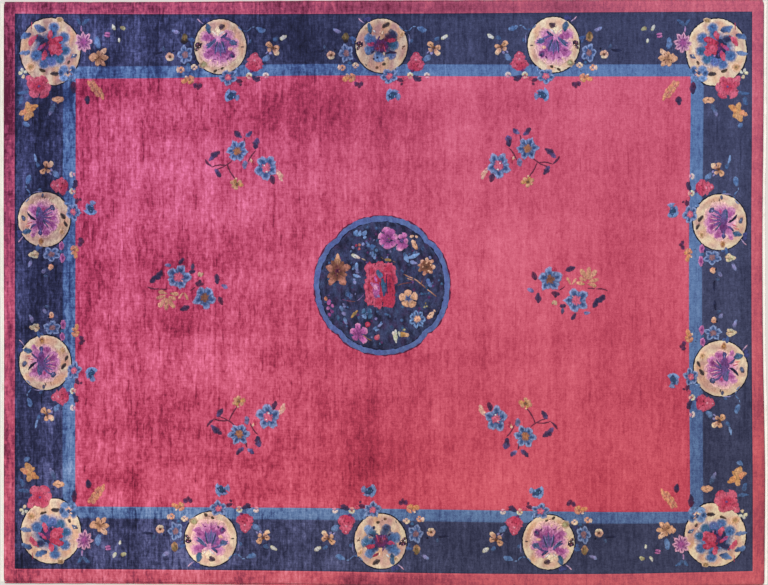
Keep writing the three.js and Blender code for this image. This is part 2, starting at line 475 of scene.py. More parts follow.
def wool(name, ramp=None, streak=1.0, sheen=0.12, bump=0.24, mottle=0.0, warmed=None, even_sheen=None):
    """Clipped wool pile. How light it is comes from the piece's tone, with its painted sheen and shade,
    from noises drawn out along Y, which paint the sheen streaks of the pile's lie and shade in its
    partings, and from each knot's own random tone. That picks a colour from the ramp, or else lightens
    and darkens the piece's own dye. The colour is then multiplied by warmed where warm, and by
    even_sheen, a painted sheen, where the pile lies even."""
    material, tree = begun(name, {**WOOL_FINISH, "Sheen Weight": sheen})
    where = placed(tree)
    tone, lie, warm = (attribute(tree, label, "Fac") for label in ("tone", "lie", "warm"))
    drawn = {label: noise(tree, where, *how) for label, how in NOISES.items()}
    cell = node(tree, "ShaderNodeVectorMath", {0: where, 1: KNOT}, operation="SNAP").outputs[0]
    speckle = node(tree, "ShaderNodeTexWhiteNoise", {"Vector": cell}, noise_dimensions="3D").outputs["Value"]
    lit = 0.0
    for label, strength in STREAKS.items():
        lit = maths(tree, "ADD", lit, swung(tree, drawn[label], 0.5, strength))
    # painted shade where the pile parts
    dip = swung(tree, drawn["partings"], PARTED, PARTING_EDGE, clamp=True)
    lit = maths(tree, "SUBTRACT", lit, maths(tree, "MULTIPLY", dip, PARTING_SHADE))
    lit = maths(tree, "MULTIPLY", maths(tree, "MULTIPLY", lit, lie), streak)
    fine = swung(tree, drawn["grain"], 0.5, 0.30)
    fine = maths(tree, "ADD", fine, swung(tree, speckle, 0.5, 0.10 + 0.25 * mottle))
    fine = maths(tree, "ADD", fine, swung(tree, drawn["spots"], 0.5, 2.5 * mottle))
    lit = maths(tree, "ADD", maths(tree, "ADD", lit, tone), maths(tree, "ADD", fine, 0.5), clamp=True)
    if ramp:
        colour = ramped(tree, lit, ramp)
    else:
        dye = attribute(tree, "dye", "Color")
        low, high = (mixed(tree, 1.0, dye, by, "MULTIPLY") for by in (DARKENED, LIGHTENED))
        colour = mixed(tree, lit, low, high)
    colour = mixed(tree, warm, colour, mixed(tree, 1.0, colour, warmed or PLAIN_LOOK["warmed"], "MULTIPLY"))
    even = maths(tree, "MULTIPLY", maths(tree, "SUBTRACT", 1.0, lie), 1.5, clamp=True)
    colour = mixed(tree, even, colour, mixed(tree, 1.0, colour, even_sheen or PLAIN_LOOK["even_sheen"], "MULTIPLY"))
    tree.links.new(colour, tree.nodes["Principled BSDF"].inputs["Base Color"])
    knots = maths(tree, "MULTIPLY", drawn["knots"], 0.5)
    strokes = maths(tree, "MULTIPLY", drawn["strokes"], 0.9)
    relieved(tree, maths(tree, "ADD", knots, strokes), bump, 0.003)
    return material


def cotton(name):
    """Plain cotton weave: the mean of fine ribs along X and along Y, which is its bump. A share of it and a
    share of a noise for soiling add up to the place on the colour ramp."""
    material, tree = begun(name, COTTON_FINISH)
    where = placed(tree)
    weft, warp = ribs(tree, where, 95.0, 0.8, "X"), ribs(tree, where, 70.0, 0.6, "Y")
    weave = maths(tree, "MULTIPLY", maths(tree, "ADD", weft, warp), 0.5)
    soil = noise(tree, where, (60, 26, 60), 3.0, 0.6, 0.0, 0.0)
    light = maths(tree, "ADD", maths(tree, "MULTIPLY", weave, 0.35), maths(tree, "MULTIPLY", soil, 0.75))
    tree.links.new(ramped(tree, light, COTTON_RAMP), tree.nodes["Principled BSDF"].inputs["Base Color"])
    relieved(tree, weave, 0.5, 0.0008)
    return material


def knotted_back(name, ramp, look):
    """The underside of the knots: the product of two sets of ribs as bump, in the band's dye."""
    material = wool(name, ramp, 0.5, 0.05, **look)
    tree = material.node_tree
    where = placed(tree)
    ridges = maths(tree, "MULTIPLY", ribs(tree, where, 55.0, 0.5, "Y"), ribs(tree, where, 62.0, 0.5, "X"))
    relieved(tree, ridges, 0.8, 0.001)
    return material


PILE = {name: wool("wool_" + name, ramp, **LOOKS[name]) for name, ramp in RAMPS.items()}
BACK = {name: knotted_back("back_" + name, ramp, LOOKS[name]) for name, ramp in RAMPS.items()}
MOTIF_WOOL = wool("wool_flowers", streak=0.55, mottle=0.85)
GROUND_WOOL = wool("wool_grounds", streak=0.7, mottle=0.3)
CORD_WOOL = wool("wool_cord", RAMPS["outer"], 0.7, 0.1, 0.3, **ROSE_LOOK)
COTTON = cotton("cotton_web")

# ---------------------------------------------------------------- making pieces


class Cloth:
    """Patches gathered into one mesh: points in millimetres, faces, and a dye for each point."""

    def __init__(self):
        self.points, self.dyes, self.quads, self.loops, self.count = [], [], [], [], 0

    def add(self, points, dyes, quads, loops=()):
        """Adds a patch. quads has four columns; loops are longer faces."""
        self.points.append(points)
        self.dyes.append(np.broadcast_to(dyes, points.shape))
        self.quads.append(np.asarray(quads) + self.count)
        self.loops.extend(np.asarray(loop) + self.count for loop in loops)
        self.count += len(points)

    def piece(self, name, materials, slot, face_materials=None, shade=0.0):
        """One object at the origin, with the pile's tone, lie and warmth at each point. shade is added
        to the tone."""
        points = np.concatenate(self.points)
        quads = np.concatenate(self.quads)
        sizes = np.concatenate([np.full(len(quads), 4), [len(loop) for loop in self.loops]]).astype(np.int32)
        corners = np.concatenate([quads.ravel(), *self.loops]).astype(np.int32)
        mesh = bpy.data.meshes.new(name)
        mesh.vertices.add(len(points))
        mesh.vertices.foreach_set("co", (points * MM).astype(np.float32).ravel())
        mesh.loops.add(len(corners))
        mesh.loops.foreach_set("vertex_index", corners)
        mesh.polygons.add(len(sizes))
        starts = np.concatenate([[0], np.cumsum(sizes)[:-1]]).astype(np.int32)
        mesh.polygons.foreach_set("loop_start", starts)
        for material in materials:
            mesh.materials.append(material)
        if face_materials is not None:
            mesh.polygons.foreach_set("material_index", np.asarray(face_materials, np.int32))
        mesh.update(calc_edges=True)
        mesh.validate()
        mesh.polygons.foreach_set("use_smooth", np.ones(len(sizes), bool))
        dyes = np.concatenate([np.concatenate(self.dyes), np.ones((len(points), 1))], 1)
        colours = mesh.attributes.new("dye", "FLOAT_COLOR", "POINT")
        colours.data.foreach_set("color", dyes.astype(np.float32).ravel())
        x, y = points[:, 0], points[:, 1]
        looks = {"tone": pile_tone(x, y) + shade, "lie": pile_lie(x, y), "warm": warmth(x, y)}
        for label, values in looks.items():
            mesh.attributes.new(label, "FLOAT", "POINT").data.foreach_set("value", values.astype(np.float32))
        made = bpy.data.objects.new(name, mesh)
        scene.collection.objects.link(made)
        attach(made, "root")
        return made


# ---------------------------------------------------------------- the carpet's own cloth

GRID_STEP = 15.5
NEAR_A_LINE = (2.2, 6.0)  # how far the close grid lines lie from a band's line
GROOVE_DEPTH, GROOVE_REACH = 1.5, 2.0  # clipped along each band's line
# painted highlight just outside each band's line and painted shade just inside
GROOVE_SHEEN_AND_SHADE = (0.22, 0.10, 0.10)  # how much lighter the pile is just outside each line, and darker inside
EDGING_AT, EDGING_REACH = 2.2, 1.6
SHOULDER_DROP, SHOULDER_REACH = 4.8, 6.5
END_SHADE, END_REACH = 0.45, 4.5  # painted shade along the short ends, where the pile meets the web
UNDERCUT = (3.2, 1.0)  # how far the underside stays inside the pile
MAP_ACROSS = (0.008, 0.984)  # start and span of the bake's map along the length
MAP_TOP, MAP_UNDER = (0.115, 0.875), (0.01, 0.09)  # and across the width, above and beneath


def stations(marks, step=GRID_STEP, near=NEAR_A_LINE):
    """Grid lines from -marks[0] to marks[0]: every mark, close lines on both sides of each mark, and
    even steps between them."""
    signed = sorted({s * m for m in marks for s in (-1, 1)})
    close = np.array(near[:-1])
    lines = []
    for low, high in zip(signed[:-1], signed[1:]):
        inner = np.linspace(low + near[-1], high - near[-1], max(2, int(round((high - low) / step))))
        lines.append(np.concatenate([[low], low + close, inner, high - close[::-1]]))
    return np.concatenate([*lines, [signed[-1]]])


def rounded_corner(x, y):
    """Draws the square corners in to quarter circles: inside each corner's square, x goes to x times
    the root of one less half of y squared, and y likewise."""
    cx, cy = PILE_END - CORNER, PILE_SIDE - CORNER
    a, b = (np.abs(x) - cx) / CORNER, (np.abs(y) - cy) / CORNER
    inside = (a > 0) & (b > 0)
    a, b = np.where(inside, a, 0), np.where(inside, b, 0)
    return (
        np.where(inside, np.sign(x) * (cx + CORNER * a * np.sqrt(1 - b * b / 2)), x),
        np.where(inside, np.sign(y) * (cy + CORNER * b * np.sqrt(1 - a * a / 2)), y),
    )


def clipped(x, y):
    """How much the pile is clipped down, and the painted highlight and shade that go with it. Each
    band's line is a groove, a bell curve deep, with a painted highlight outside and painted shade
    inside. At the edge the pile rounds over, falling by the square of how near the edge a point is,
    and the short ends get painted shade."""
    z, shade = np.zeros_like(x), np.zeros_like(x)
    for (bx, by), groove_sheen in zip(BANDS.values(), GROOVE_SHEEN_AND_SHADE):
        out = np.maximum(np.abs(x) - bx, np.abs(y) - by)
        z -= GROOVE_DEPTH * np.exp(-((out / GROOVE_REACH) ** 2))
        # painted highlight outside each groove and painted shade inside, stronger where the pile's lie varies
        beside = np.exp(-(((np.abs(out) - EDGING_AT) / EDGING_REACH) ** 2))
        shade += groove_sheen * pile_lie(x, y) * np.sign(out) * beside
    edge = np.minimum(PILE_END - np.abs(x), PILE_SIDE - np.abs(y))
    z -= SHOULDER_DROP * np.clip(1 - edge / SHOULDER_REACH, 0, 1) ** 2
    # painted shade along the short ends, where the pile meets the web
    shade -= END_SHADE * np.exp(-(((PILE_END - np.abs(x)) / END_REACH) ** 2))
    return z, shade


def band_of(xs, ys):
    """Which band each square of the grid lies in, by its middle: 0 for the outermost."""
    middle_x = np.abs(xs[:-1] + xs[1:])[:, None] / 2
    middle_y = np.abs(ys[:-1] + ys[1:])[None, :] / 2
    band = np.zeros((len(xs) - 1, len(ys) - 1), int)
    for order, (bx, by) in enumerate(BANDS.values(), 1):
        band[(middle_x < bx) & (middle_y < by)] = order
    return band.ravel()


def mapped(made, points, above):
    """Gives a slab its map: the top above a strip that holds the underside, each laid out flat."""
    u, v = (points[:, i] / length + 0.5 for i, length in enumerate((2 * PILE_END, 2 * PILE_SIDE)))
    u = MAP_ACROSS[0] + MAP_ACROSS[1] * u
    v = np.where(above, MAP_TOP[0] + MAP_TOP[1] * v, MAP_UNDER[0] + MAP_UNDER[1] * v)
    corner = np.empty(len(made.data.loops), np.int32)
    made.data.loops.foreach_get("vertex_index", corner)
    layer = made.data.uv_layers.new(name="OFBake")
    layer.data.foreach_set("uv", np.stack([u[corner], v[corner]], -1).astype(np.float32).ravel())


def carpet_cloth():
    """The carpet as one closed slab: a grid of pile on top, the same grid of knots beneath, and a
    wall round the edge."""
    xs = stations([PILE_END, *(x for x, _ in BANDS.values())])
    ys = stations([PILE_SIDE, *(y for _, y in BANDS.values())])
    x, y = np.meshgrid(xs, ys, indexing="ij")
    z, shade = clipped(x, y)
    rx, ry = rounded_corner(x, y)
    px, py = drifted(rx, ry)
    top = np.stack([px, py, pile_height(px, py) + z], -1).reshape(-1, 3)
    limit_x, limit_y = PILE_END - UNDERCUT[0], PILE_SIDE - UNDERCUT[1]
    ux, uy = drifted(np.clip(rx, -limit_x, limit_x), np.clip(ry, -limit_y, limit_y))
    under = np.stack([ux, uy, np.zeros_like(ux)], -1).reshape(-1, 3)
    points = np.concatenate([top, under])
    index = np.arange(x.size).reshape(x.shape)
    a, b, c, d = index[:-1, :-1], index[1:, :-1], index[1:, 1:], index[:-1, 1:]
    quads_top = np.stack([a, b, c, d], -1).reshape(-1, 4)
    quads_under = quads_top[:, ::-1] + x.size
    rim = np.concatenate([index[:-1, 0], index[-1, :-1], index[:0:-1, -1], index[0, :0:-1]])
    after = np.roll(rim, -1)
    wall = np.stack([rim, rim + x.size, after + x.size, after], -1)
    cloth = Cloth()
    cloth.add(points, DYE["crimson"], np.concatenate([quads_top, quads_under, wall]))
    names, band = [*BANDS, "field"], band_of(xs, ys)
    faces = np.concatenate([band, band + len(names), np.zeros(len(wall), int)])
    materials = [PILE[n] for n in names] + [BACK[n] for n in names]
    made = cloth.piece("carpet_cloth", materials, "wool_pile", faces, np.tile(shade.ravel(), 2))
    mapped(made, points, np.arange(len(points)) < x.size)
    return made


carpet = carpet_cloth()

# ---------------------------------------------------------------- side cords and end webs

CORD_TURN, CORD_STEP, CORD_AROUND = 7.5, 1.875, 9  # one turn of the wool, a ring's step, its points
CORD_MIDDLE = 3.4  # its height over the floor
CORD_STOP = 4.0  # how far inside the end of the pile it stops
CORD_RIBS = (0.80, 0.22)  # the cord's share of its radius between two turns, and what a turn adds
WEB_HALF = 1343.0
WEB_STITCH, WEB_STEP = 9.0, 2.25
# Once round a web's section, from under the pile over the top: how far out, and how high.
WEB_OUT = (-2.4, 3.0, 6.0, 8.6, 9.6, 10.6, 12.0, 13.2, 13.9, 13.6, 12.4, 6.0, -2.4)
WEB_HIGH = (2.3, 2.4, 2.3, 2.5, 3.3, 3.8, 3.9, 3.4, 2.3, 1.0, 0.1, 0.0, 0.0)
WEB_REACH = 14.0
ROLL_FROM, ROLL_OVER = 8.0, 5.0


def tube(points, facing_out):
    """A tube through rows of rings, closed by its first and last ring. Its faces point out where the
    rings turn from Y towards Z along +X, which facing_out says."""
    rows, around = points.shape[:2]
    index = np.arange(rows * around).reshape(rows, around)
    nxt = np.roll(index, -1, 1)
    quads = np.stack([index[:-1], index[1:], nxt[1:], nxt[:-1]], -1).reshape(-1, 4)
    loops = [index[0][::-1], index[-1]]
    if not facing_out:
        quads, loops = quads[:, ::-1], [loop[::-1] for loop in loops]
    return points.reshape(-1, 3), quads, loops


def side_cord(direction):
    """The overcast cord of a long side: a ring carried along X, its radius ribbed where each turn of
    wool passes, the ribs slanting because the angle round the cord shifts their phase."""
    end = PILE_END - CORD_STOP
    x = np.arange(-end, end + CORD_STEP / 2, CORD_STEP)[:, None]
    angle = np.linspace(0, 2 * np.pi, CORD_AROUND, endpoint=False)[None, :]
    wrap = np.abs(np.sin(np.pi * x / CORD_TURN + angle / 2)) ** 0.7
    thick = 1 + 0.10 * summed(BLOTCH, x, x * 0.3)
    radius = (CORD_RADIUS * thick) * (CORD_RIBS[0] + CORD_RIBS[1] * wrap)
    px, py = drifted(x[:, 0], np.full(len(x), direction * CORD_SIDE))
    points = np.stack([
        np.broadcast_to(px[:, None], radius.shape),
        py[:, None] - np.cos(angle) * radius,
        CORD_MIDDLE + np.sin(angle) * radius,
    ], -1)
    points, quads, loops = tube(points, False)
    cloth = Cloth()
    cloth.add(points, DYE["crimson"], quads, loops)
    name = "side_cord_top" if direction > 0 else "side_cord_bottom"
    return cloth.piece(name, [CORD_WOOL], "wool_pile")


def end_web(direction):
    """A short end's cotton web: a flat strip whose outer edge is rolled and whipped, the roll swelling
    between one stitch and the next, and the edge rippling slowly along Y."""
    y = np.arange(-WEB_HALF, WEB_HALF + WEB_STEP / 2, WEB_STEP)[:, None]
    out, high = np.array(WEB_OUT)[None, :], np.array(WEB_HIGH)[None, :]
    roll = np.clip((out - ROLL_FROM) / ROLL_OVER, 0, 1)
    stitch = np.abs(np.sin(np.pi * y / WEB_STITCH)) ** 0.6
    ripple = 0.9 * np.sin(y / HALF_WIDTH * 13 * direction + 0.6) + 0.7 * np.sin(2 * np.pi * y / 23)
    ripple = ripple + 0.5 * summed(BLOTCH, y, y * 0.2)
    reach = out + roll * (0.9 * stitch - 0.5) + np.clip(out / WEB_REACH, 0, 1) * ripple
    rise = np.where(high > 0.05, high + roll * (0.6 * stitch - 0.4), high)
    px, py = drifted(np.full(y.shape, direction * PILE_END), y)
    points = np.stack([px + direction * reach, np.broadcast_to(py, reach.shape), np.maximum(rise, 0)], -1)
    points, quads, loops = tube(points, direction < 0)
    cloth = Cloth()
    cloth.add(points, DYE["pale_cream"], quads, loops)
    name = "end_web_right_cloth" if direction > 0 else "end_web_left_cloth"
    return cloth.piece(name, [COTTON], "cotton_web")


cords = [side_cord(1), side_cord(-1)]
web_left, web_right = end_web(-1), end_web(1)

# ---------------------------------------------------------------- the knotted flowers

SINK = 0.7  # how deep a motif's rim sits in the pile
BLADE_STEP = 6.5
BLADE_RAGGED, BLADE_WANDER, BLOT_WANDER, STAR_WANDER = 0.28, 0.11, 0.12, 0.07
WASH_RINGS = (0.3, 0.5, 0.68, 0.84, 0.95, 1.0)
LARGE_RINGS = (0.3, 0.62, 0.92, 1.0)
SMALL_RINGS = (0.45, 0.9, 1.0)
STAR_RINGS = (0.2, 0.34, 0.46, 0.58, 0.72, 0.86, 0.97, 1.0)
SMALL_STAR_RINGS = (0.34, 0.62, 0.95, 1.0)
SECTIONS = {
    3: np.array([-1.0, 0, 1.0]),
    5: np.array([-1, -0.8, 0, 0.8, 1.0]),
    7: np.array([-1, -0.86, -0.45, 0, 0.45, 0.86, 1.0]),
}


def dye_path(path, share):
    """Dye at a share, from 0 to 1, of the way along a path of dye names parted by slashes, mixed in
    straight lines between them."""
    stops = np.array([DYE[name] for name in (path.split("/") * 2)[: max(2, path.count("/") + 1)]])
    place = np.clip(share, 0, 1) * (len(stops) - 1)
    low = np.minimum(place.astype(int), len(stops) - 2)
    t = (place - low)[..., None]
    return stops[low] * (1 - t) + stops[low + 1] * t


class Place:
    """Where a chart goes: its middle, the ways its first and second axes point, and the round grounds
    that its patches stand on, as half sizes and a height."""

    def __init__(self, middle, first, second, grounds=(), ground_dye="cream"):
        self.middle, self.first, self.second = (np.array(v, float) for v in (middle, first, second))
        self.grounds, self.ground_dye = grounds, ground_dye
        self.flips = self.first[0] * self.second[1] - self.first[1] * self.second[0] < 0

    def settled(self, local, colour, edge):
        """A motif's dye mixed at its edge with the dye of the pile it stands in: outer band, border,
        stripe, field, or the round ground."""
        at = np.abs(self.middle + local[..., :1] * self.first + local[..., 1:2] * self.second)
        under = np.broadcast_to(DYE["rose"], colour.shape)
        for name, (bx, by) in zip(("navy_pile", "blue", "rose"), BANDS.values()):
            under = np.where(((at[..., 0] < bx) & (at[..., 1] < by))[..., None], DYE[name], under)
        for (wide, tall), _ in self.grounds:
            inside = (local[..., 0] / wide) ** 2 + (local[..., 1] / tall) ** 2 < 1
            under = np.where(inside[..., None], DYE[self.ground_dye], under)
        return colour * (1 - edge[..., None]) + under * edge[..., None]

    def to_cloth(self, local, rise):
        """Chart points with a rise over the pile, put on the carpet and drifted with it."""
        for (wide, tall), height in self.grounds:
            inside = (local[..., 0] / wide) ** 2 + (local[..., 1] / tall) ** 2 < 1
            rise = np.where(inside, rise + height, rise)
        flat = self.middle + local[..., :1] * self.first + local[..., 1:2] * self.second
        x, y = drifted(flat[..., 0], flat[..., 1])
        return np.stack([x, y, pile_height(x, y) + rise], -1).reshape(-1, 3)


def width_along(kind, s):
    """Half width of a blade at s from its tail to its tip, as a share of its widest: the sine of pi times a
    power of s, raised to a power, and a little more so that its ends aren't sharp."""
    if kind == "twig":
        return 0.6 + 0.4 * np.sin(np.pi * s) ** 0.5
    skew, power = {"petal": (1.5, 0.55), "bud": (0.7, 0.65), "cup": (2.1, 0.45)}.get(kind, (0.9, 0.8))
    return np.clip(np.sin(np.pi * s**skew), 0, 1) ** power + 0.05


def blade(cloth, place, tail, tip, wide, bow, dyes, lift, kind="leaf"):
    """A leaf, petal, bud or twig: a low section carried along a spine from tail to tip. The spine bows
    sideways by four s times one less s, the section is as wide as width_along says with a ragged edge
    and as high as one less the cube of the way across, and the dye follows its path along s, with a
    second path's dye down the middle."""
    tail, tip = np.array(tail, float), np.array(tip, float)
    length = np.linalg.norm(tip - tail)
    section = SECTIONS[3 if wide < 10 else 5 if wide < 27 else 7][None, :]
    rows = int(np.clip(length / BLADE_STEP, 4, 15))
    s = np.linspace(0, 1, rows)[:, None]
    ahead = (tip - tail) / length
    side = np.array([-ahead[1], ahead[0]])
    ragged = 1 + rng.uniform(-BLADE_RAGGED, BLADE_RAGGED, (rows, 2))
    width = wide / 2 * width_along(kind, s) * np.where(section < 0, ragged[:, :1], ragged[:, 1:])
    across_by = section * width * (1.35 if section.size == 3 else 1.1) + 4 * bow * s * (1 - s)
    local = tail + ahead * (s * length)[..., None] + side * across_by[..., None]
    rise = (1 - np.abs(section) ** 3) * np.clip(np.sin(np.pi * s) * 2, 0, 1) * (lift + SINK) - SINK
    points = place.to_cloth(local, rise)
    share = s + rng.uniform(-BLADE_WANDER, BLADE_WANDER, across_by.shape)
    if kind == "petal":
        share = share + 0.34 * np.abs(section) ** 3 * (1 - s)
    colour = dye_path(dyes[0], share)
    if len(dyes) > 1:
        middle = np.clip(1 - 1.6 * np.abs(section), 0, 1) * np.sin(np.pi * np.clip(s * 1.15, 0, 1))
        colour = colour * (1 - middle[..., None]) + dye_path(dyes[1], share) * middle[..., None]
    if kind != "vein":
        edge = 0.5 * np.maximum(np.abs(section) ** 5, np.clip(8 * s - 7, 0, 0.7))
        colour = place.settled(local, colour, edge)
    index = np.arange(rows * section.size).reshape(rows, section.size)
    a, b, c, d = index[:-1, :-1], index[1:, :-1], index[1:, 1:], index[:-1, 1:]
    quads = np.stack([a, b, c, d], -1).reshape(-1, 4)
    bottom = np.concatenate([index[:, 0], index[-1, 1:], index[-2::-1, -1], index[0, -2:0:-1]])[::-1]
    if place.flips:
        quads, bottom = quads[:, ::-1], bottom[::-1]
    cloth.add(points, colour.reshape(-1, 3), quads, [bottom])


def patch(cloth, place, centre, radii, turn, dye_of, rise_of, shares, around, shape=None, ragged=0.06):
    """A round patch: rings about a centre at shares of an ellipse times shape(angle), its edge ragged.
    dye_of and rise_of give the dye and rise from the angle and the share; the last ring is sunk."""
    angle = np.linspace(0, 2 * np.pi, around, endpoint=False)
    edge = 1 + rng.uniform(-ragged, ragged, around)
    if shape is not None:
        edge = edge * shape(angle)
    share, angles = (m.ravel() for m in np.meshgrid(shares, angle, indexing="ij"))
    r = share * (1 + (np.tile(edge, len(shares)) - 1) * share)
    u, v, turned = radii[0] * r * np.cos(angles), radii[1] * r * np.sin(angles), np.radians(turn)
    local = np.stack([u * np.cos(turned) - v * np.sin(turned), u * np.sin(turned) + v * np.cos(turned)], -1)
    local = np.concatenate([[[0.0, 0.0]], local]) + centre
    share, angles = np.append(0.0, share), np.append(0.0, angles)
    points = place.to_cloth(local, np.where(share > 0.999, -SINK, rise_of(angles, share)))
    index = 1 + np.arange(len(shares) * around).reshape(-1, around)
    nxt = np.roll(index, -1, 1)
    quads = np.stack([index[:-1], index[1:], nxt[1:], nxt[:-1]], -1).reshape(-1, 4)
    fans = [np.array([0, index[0, i], nxt[0, i]]) for i in range(around)]
    bottom = index[-1][::-1]
    if place.flips:
        quads, fans, bottom = quads[:, ::-1], [f[::-1] for f in fans], bottom[::-1]
    cloth.add(points, dye_of(angles, share, local), quads, [*fans, bottom])


def star(cloth, place, centre, radii, petals, turn, dyes, lift=1.5):
    """An open flower in one patch. Its edge draws in by the 1.3 power of how far from a petal's middle
    a place is. A heart, a faint dark ring, a dark seed in each petal, the petals' own dye and a pale
    rim follow one another outwards."""
    rim, body, core, heart = (DYE[name] for name in dyes)
    large = max(radii) > 26
    shares = np.array(STAR_RINGS if large else SMALL_STAR_RINGS)

    def from_petal(angle):
        """How far an angle is from the nearest petal's middle: 0 there, 1 in the gap between two."""
        away = (angle + np.pi / petals) % (2 * np.pi / petals) - np.pi / petals
        return np.abs(away) / (np.pi / petals)

    def dye_of(angle, share, local):
        """The body's dye mixed with the rim's from about half way out, then with the dark one by the
        largest of ring, seed and gap, each a clipped straight line; the heart covers the middle."""
        near = from_petal(angle)
        uneven = share + rng.uniform(-STAR_WANDER, STAR_WANDER, len(share))
        pale = (np.clip((uneven - 0.56 + 0.25 * near) * 4, 0, 1) * rng.uniform(0.6, 1.0, len(share)))[:, None]
        ring = np.clip(1.2 - np.abs(uneven - 0.40) * 11, 0, 0.6)
        inner = np.clip(1.6 - 2.6 * near, 0, 1) * np.clip(1.9 - np.abs(uneven - 0.62) * 10, 0, 1)
        gap = 0.7 * np.clip(6 * near - 4.9, 0, 1) * np.clip(share * 5 - 1.5, 0, 1)
        dark = np.maximum(np.maximum(ring, inner), gap)[:, None]
        colour = body * (1 - pale) + rim * pale
        colour = colour * (1 - dark) + core * dark
        colour = np.where(uneven[:, None] < 0.36, heart, colour)
        return place.settled(local, colour, 0.45 * (share > 0.9))

    patch(
        cloth, place, centre, radii, turn, dye_of,
        lambda angle, share: lift * np.where(share < 0.3, 1.35, 1 - 0.35 * share**2),
        shares, petals * (6 if large else 4),
        lambda angle: 0.74 + 0.30 * (1 - from_petal(angle) ** 1.3), 0.12,
    )


def blot(cloth, place, centre, wide, tall, turn, path, kind="blot"):
    """An uneven spot whose dye follows its path from the middle out, and whose rise falls by the square
    of the share. A wash runs into the ground around it, a blot a little, and a spot or a dab, which lie
    on petals, not at all."""
    large, washed = max(wide, tall) >= 40, kind == "wash"
    lift = {"blot": 1.0, "wash": 1.2, "dab": 2.2}.get(kind, 1.9 if max(wide, tall) > 24 else 2.3)

    def dye_of(angle, share, local):
        """The path's dye at the share and a random wander, settled into the ground at the edge."""
        wander = rng.uniform(-BLOT_WANDER, BLOT_WANDER, len(share)) * (0.5 if washed else 1)
        edge = np.clip(2.2 * share - 1.4, 0, 0.85) if washed else 0.5 * (share > 0.9) * (kind == "blot")
        return place.settled(local, dye_path(path, share + wander), edge)

    patch(
        cloth, place, centre, (wide / 2, tall / 2), turn, dye_of,
        lambda angle, share: lift * (1 - 0.4 * share**2),
        np.array(WASH_RINGS if washed else LARGE_RINGS if large else SMALL_RINGS),
        24 if washed or large else 12, None, 0.08 if washed else 0.2,
    )


def chart(text):
    """Rows of a chart, each a kind, its numbers and its dyes."""
    rows = []
    for line in text.strip().splitlines():
        kind, *words = line.split()
        numbers = [float(w) for w in words if w.lstrip("-").replace(".", "").isdigit()]
        rows.append((kind, numbers, words[len(numbers):]))
    return rows


def knot(cloth, place, rows):
    """Works a chart's rows into a piece. star: middle, half width, half height where it differs, petals,
    turn, and the dyes of rim, body, seeds and heart. blot, wash where it runs, or spot or dab where it
    lies on petals: middle, width, height, turn, dye path. The rest: tail, tip, width, bow, dye path and
    the path down the middle."""
    for kind, numbers, dyes in rows:
        if kind == "star":
            star(cloth, place, numbers[:2], (numbers[2], numbers[-3]), int(numbers[-2]), numbers[-1], dyes)
        elif kind in ("blot", "spot", "dab", "wash"):
            blot(cloth, place, numbers[:2], *numbers[2:], dyes[0], kind)
        else:
            lift = {"twig": 1.4, "vein": 2.6}.get(kind, 1.5)
            blade(cloth, place, numbers[:2], numbers[2:4], numbers[4], numbers[5], dyes, lift, kind)


# Charts, in millimetres. In the border's, the first axis runs along the border towards a roundel's blue
# flowers, the second in to the field. First come the roundels' peonies and buds, then what grows out of
# the roundels, the corners, the field's sprays and the medallion.
PEONY = chart("""
wash    2  14 186 172   0 orchid/orchid/pale_orchid
petal   8  -20 -70 -68 52  0 violet/magenta/orchid/blush
petal   8  -18 -94 -10 54  0 slate/violet/magenta/orchid/blush
petal   4   -8 -74  68 56  0 slate/plum/magenta/orchid/blush
petal   6   -4 -22  92 50  0 violet/magenta/magenta/orchid/blush
petal   8   -4  30  94 48  0 violet/magenta/orchid/blush
petal  10   -6  80  58 54  0 violet/magenta/magenta/orchid
petal  12  -14  94  12 46  0 violet/magenta/orchid/blush
petal  12  -22  96 -62 58  0 violet/magenta/magenta/orchid/blush
spot   -2   8  84  64   0 violet/violet/magenta
spot   60 -42  44  34 -25 magenta/magenta/orchid
spot   50  24  46  28  25 plum/magenta/orchid
spot  -52  42  36  38  10 slate/plum/magenta
spot  -46  12  30  20   0 blush/peach/orchid
spot  -58 -16  46  30 -12 slate/slate/violet
vein  -60  -14  -2 -42 18 -8 slate/violet/navy
vein   14  -42  76  -2 20  8 violet/slate/violet
vein  -36  -68   4 -38 15  5 navy/violet_blue
vein  -30  -62   2 -40  7  4 sky/lilac
vein   26  -34  72  12 14  6 navy/slate
vein   24  -28  66  12  7  6 lilac/sky
vein    0  -34 -28  42 15  3 slate/navy/violet
vein    4  -30  -4  58 13  0 violet/slate/violet
vein   10  -32  24  48 15 -3 slate/navy/violet
vein   -6  -16 -18  36  7  2 sky/lilac
vein   12  -14  20  38  7 -2 lilac/sky
vein  -70  -20 -30 -26  8 -5 sky/lilac
vein  -40   44 -28  70 10  0 plum
vein   14   60  36  58 11  0 plum/magenta
vein  -30   58 -46  90  9  0 blush/cream
vein   10   62  16  92  8  0 cream/blush
vein   34   54  62  82  9  0 blush/cream
vein   -4   50  -2  84  7  0 plum/magenta
vein   26   48  38  78  7  0 plum/magenta
spot  -58  48  14  16   0 navy
vein   24   70  22  92  9  0 orchid/blush
vein  -12   72 -14  92  9  0 orchid/blush
vein   52   60  54  80  9  0 orchid/blush
leaf   12  -98   8 -42 30  0 cream/pale_cream/blush
vein  -22  -74  12 -44  8 -3 white/white
vein   42  -74  18 -46  8  3 pale_cream/white
leaf  -24 -100  18 -72 26 -3 earth/aubergine/earth
leaf  -20   94   2 106 14  0 earth
leaf   12  104  34 122 15  0 earth
twig    0  104  14 108  4  0 maroon
blot   76  82  46  40  30 green/olive/cream
""")
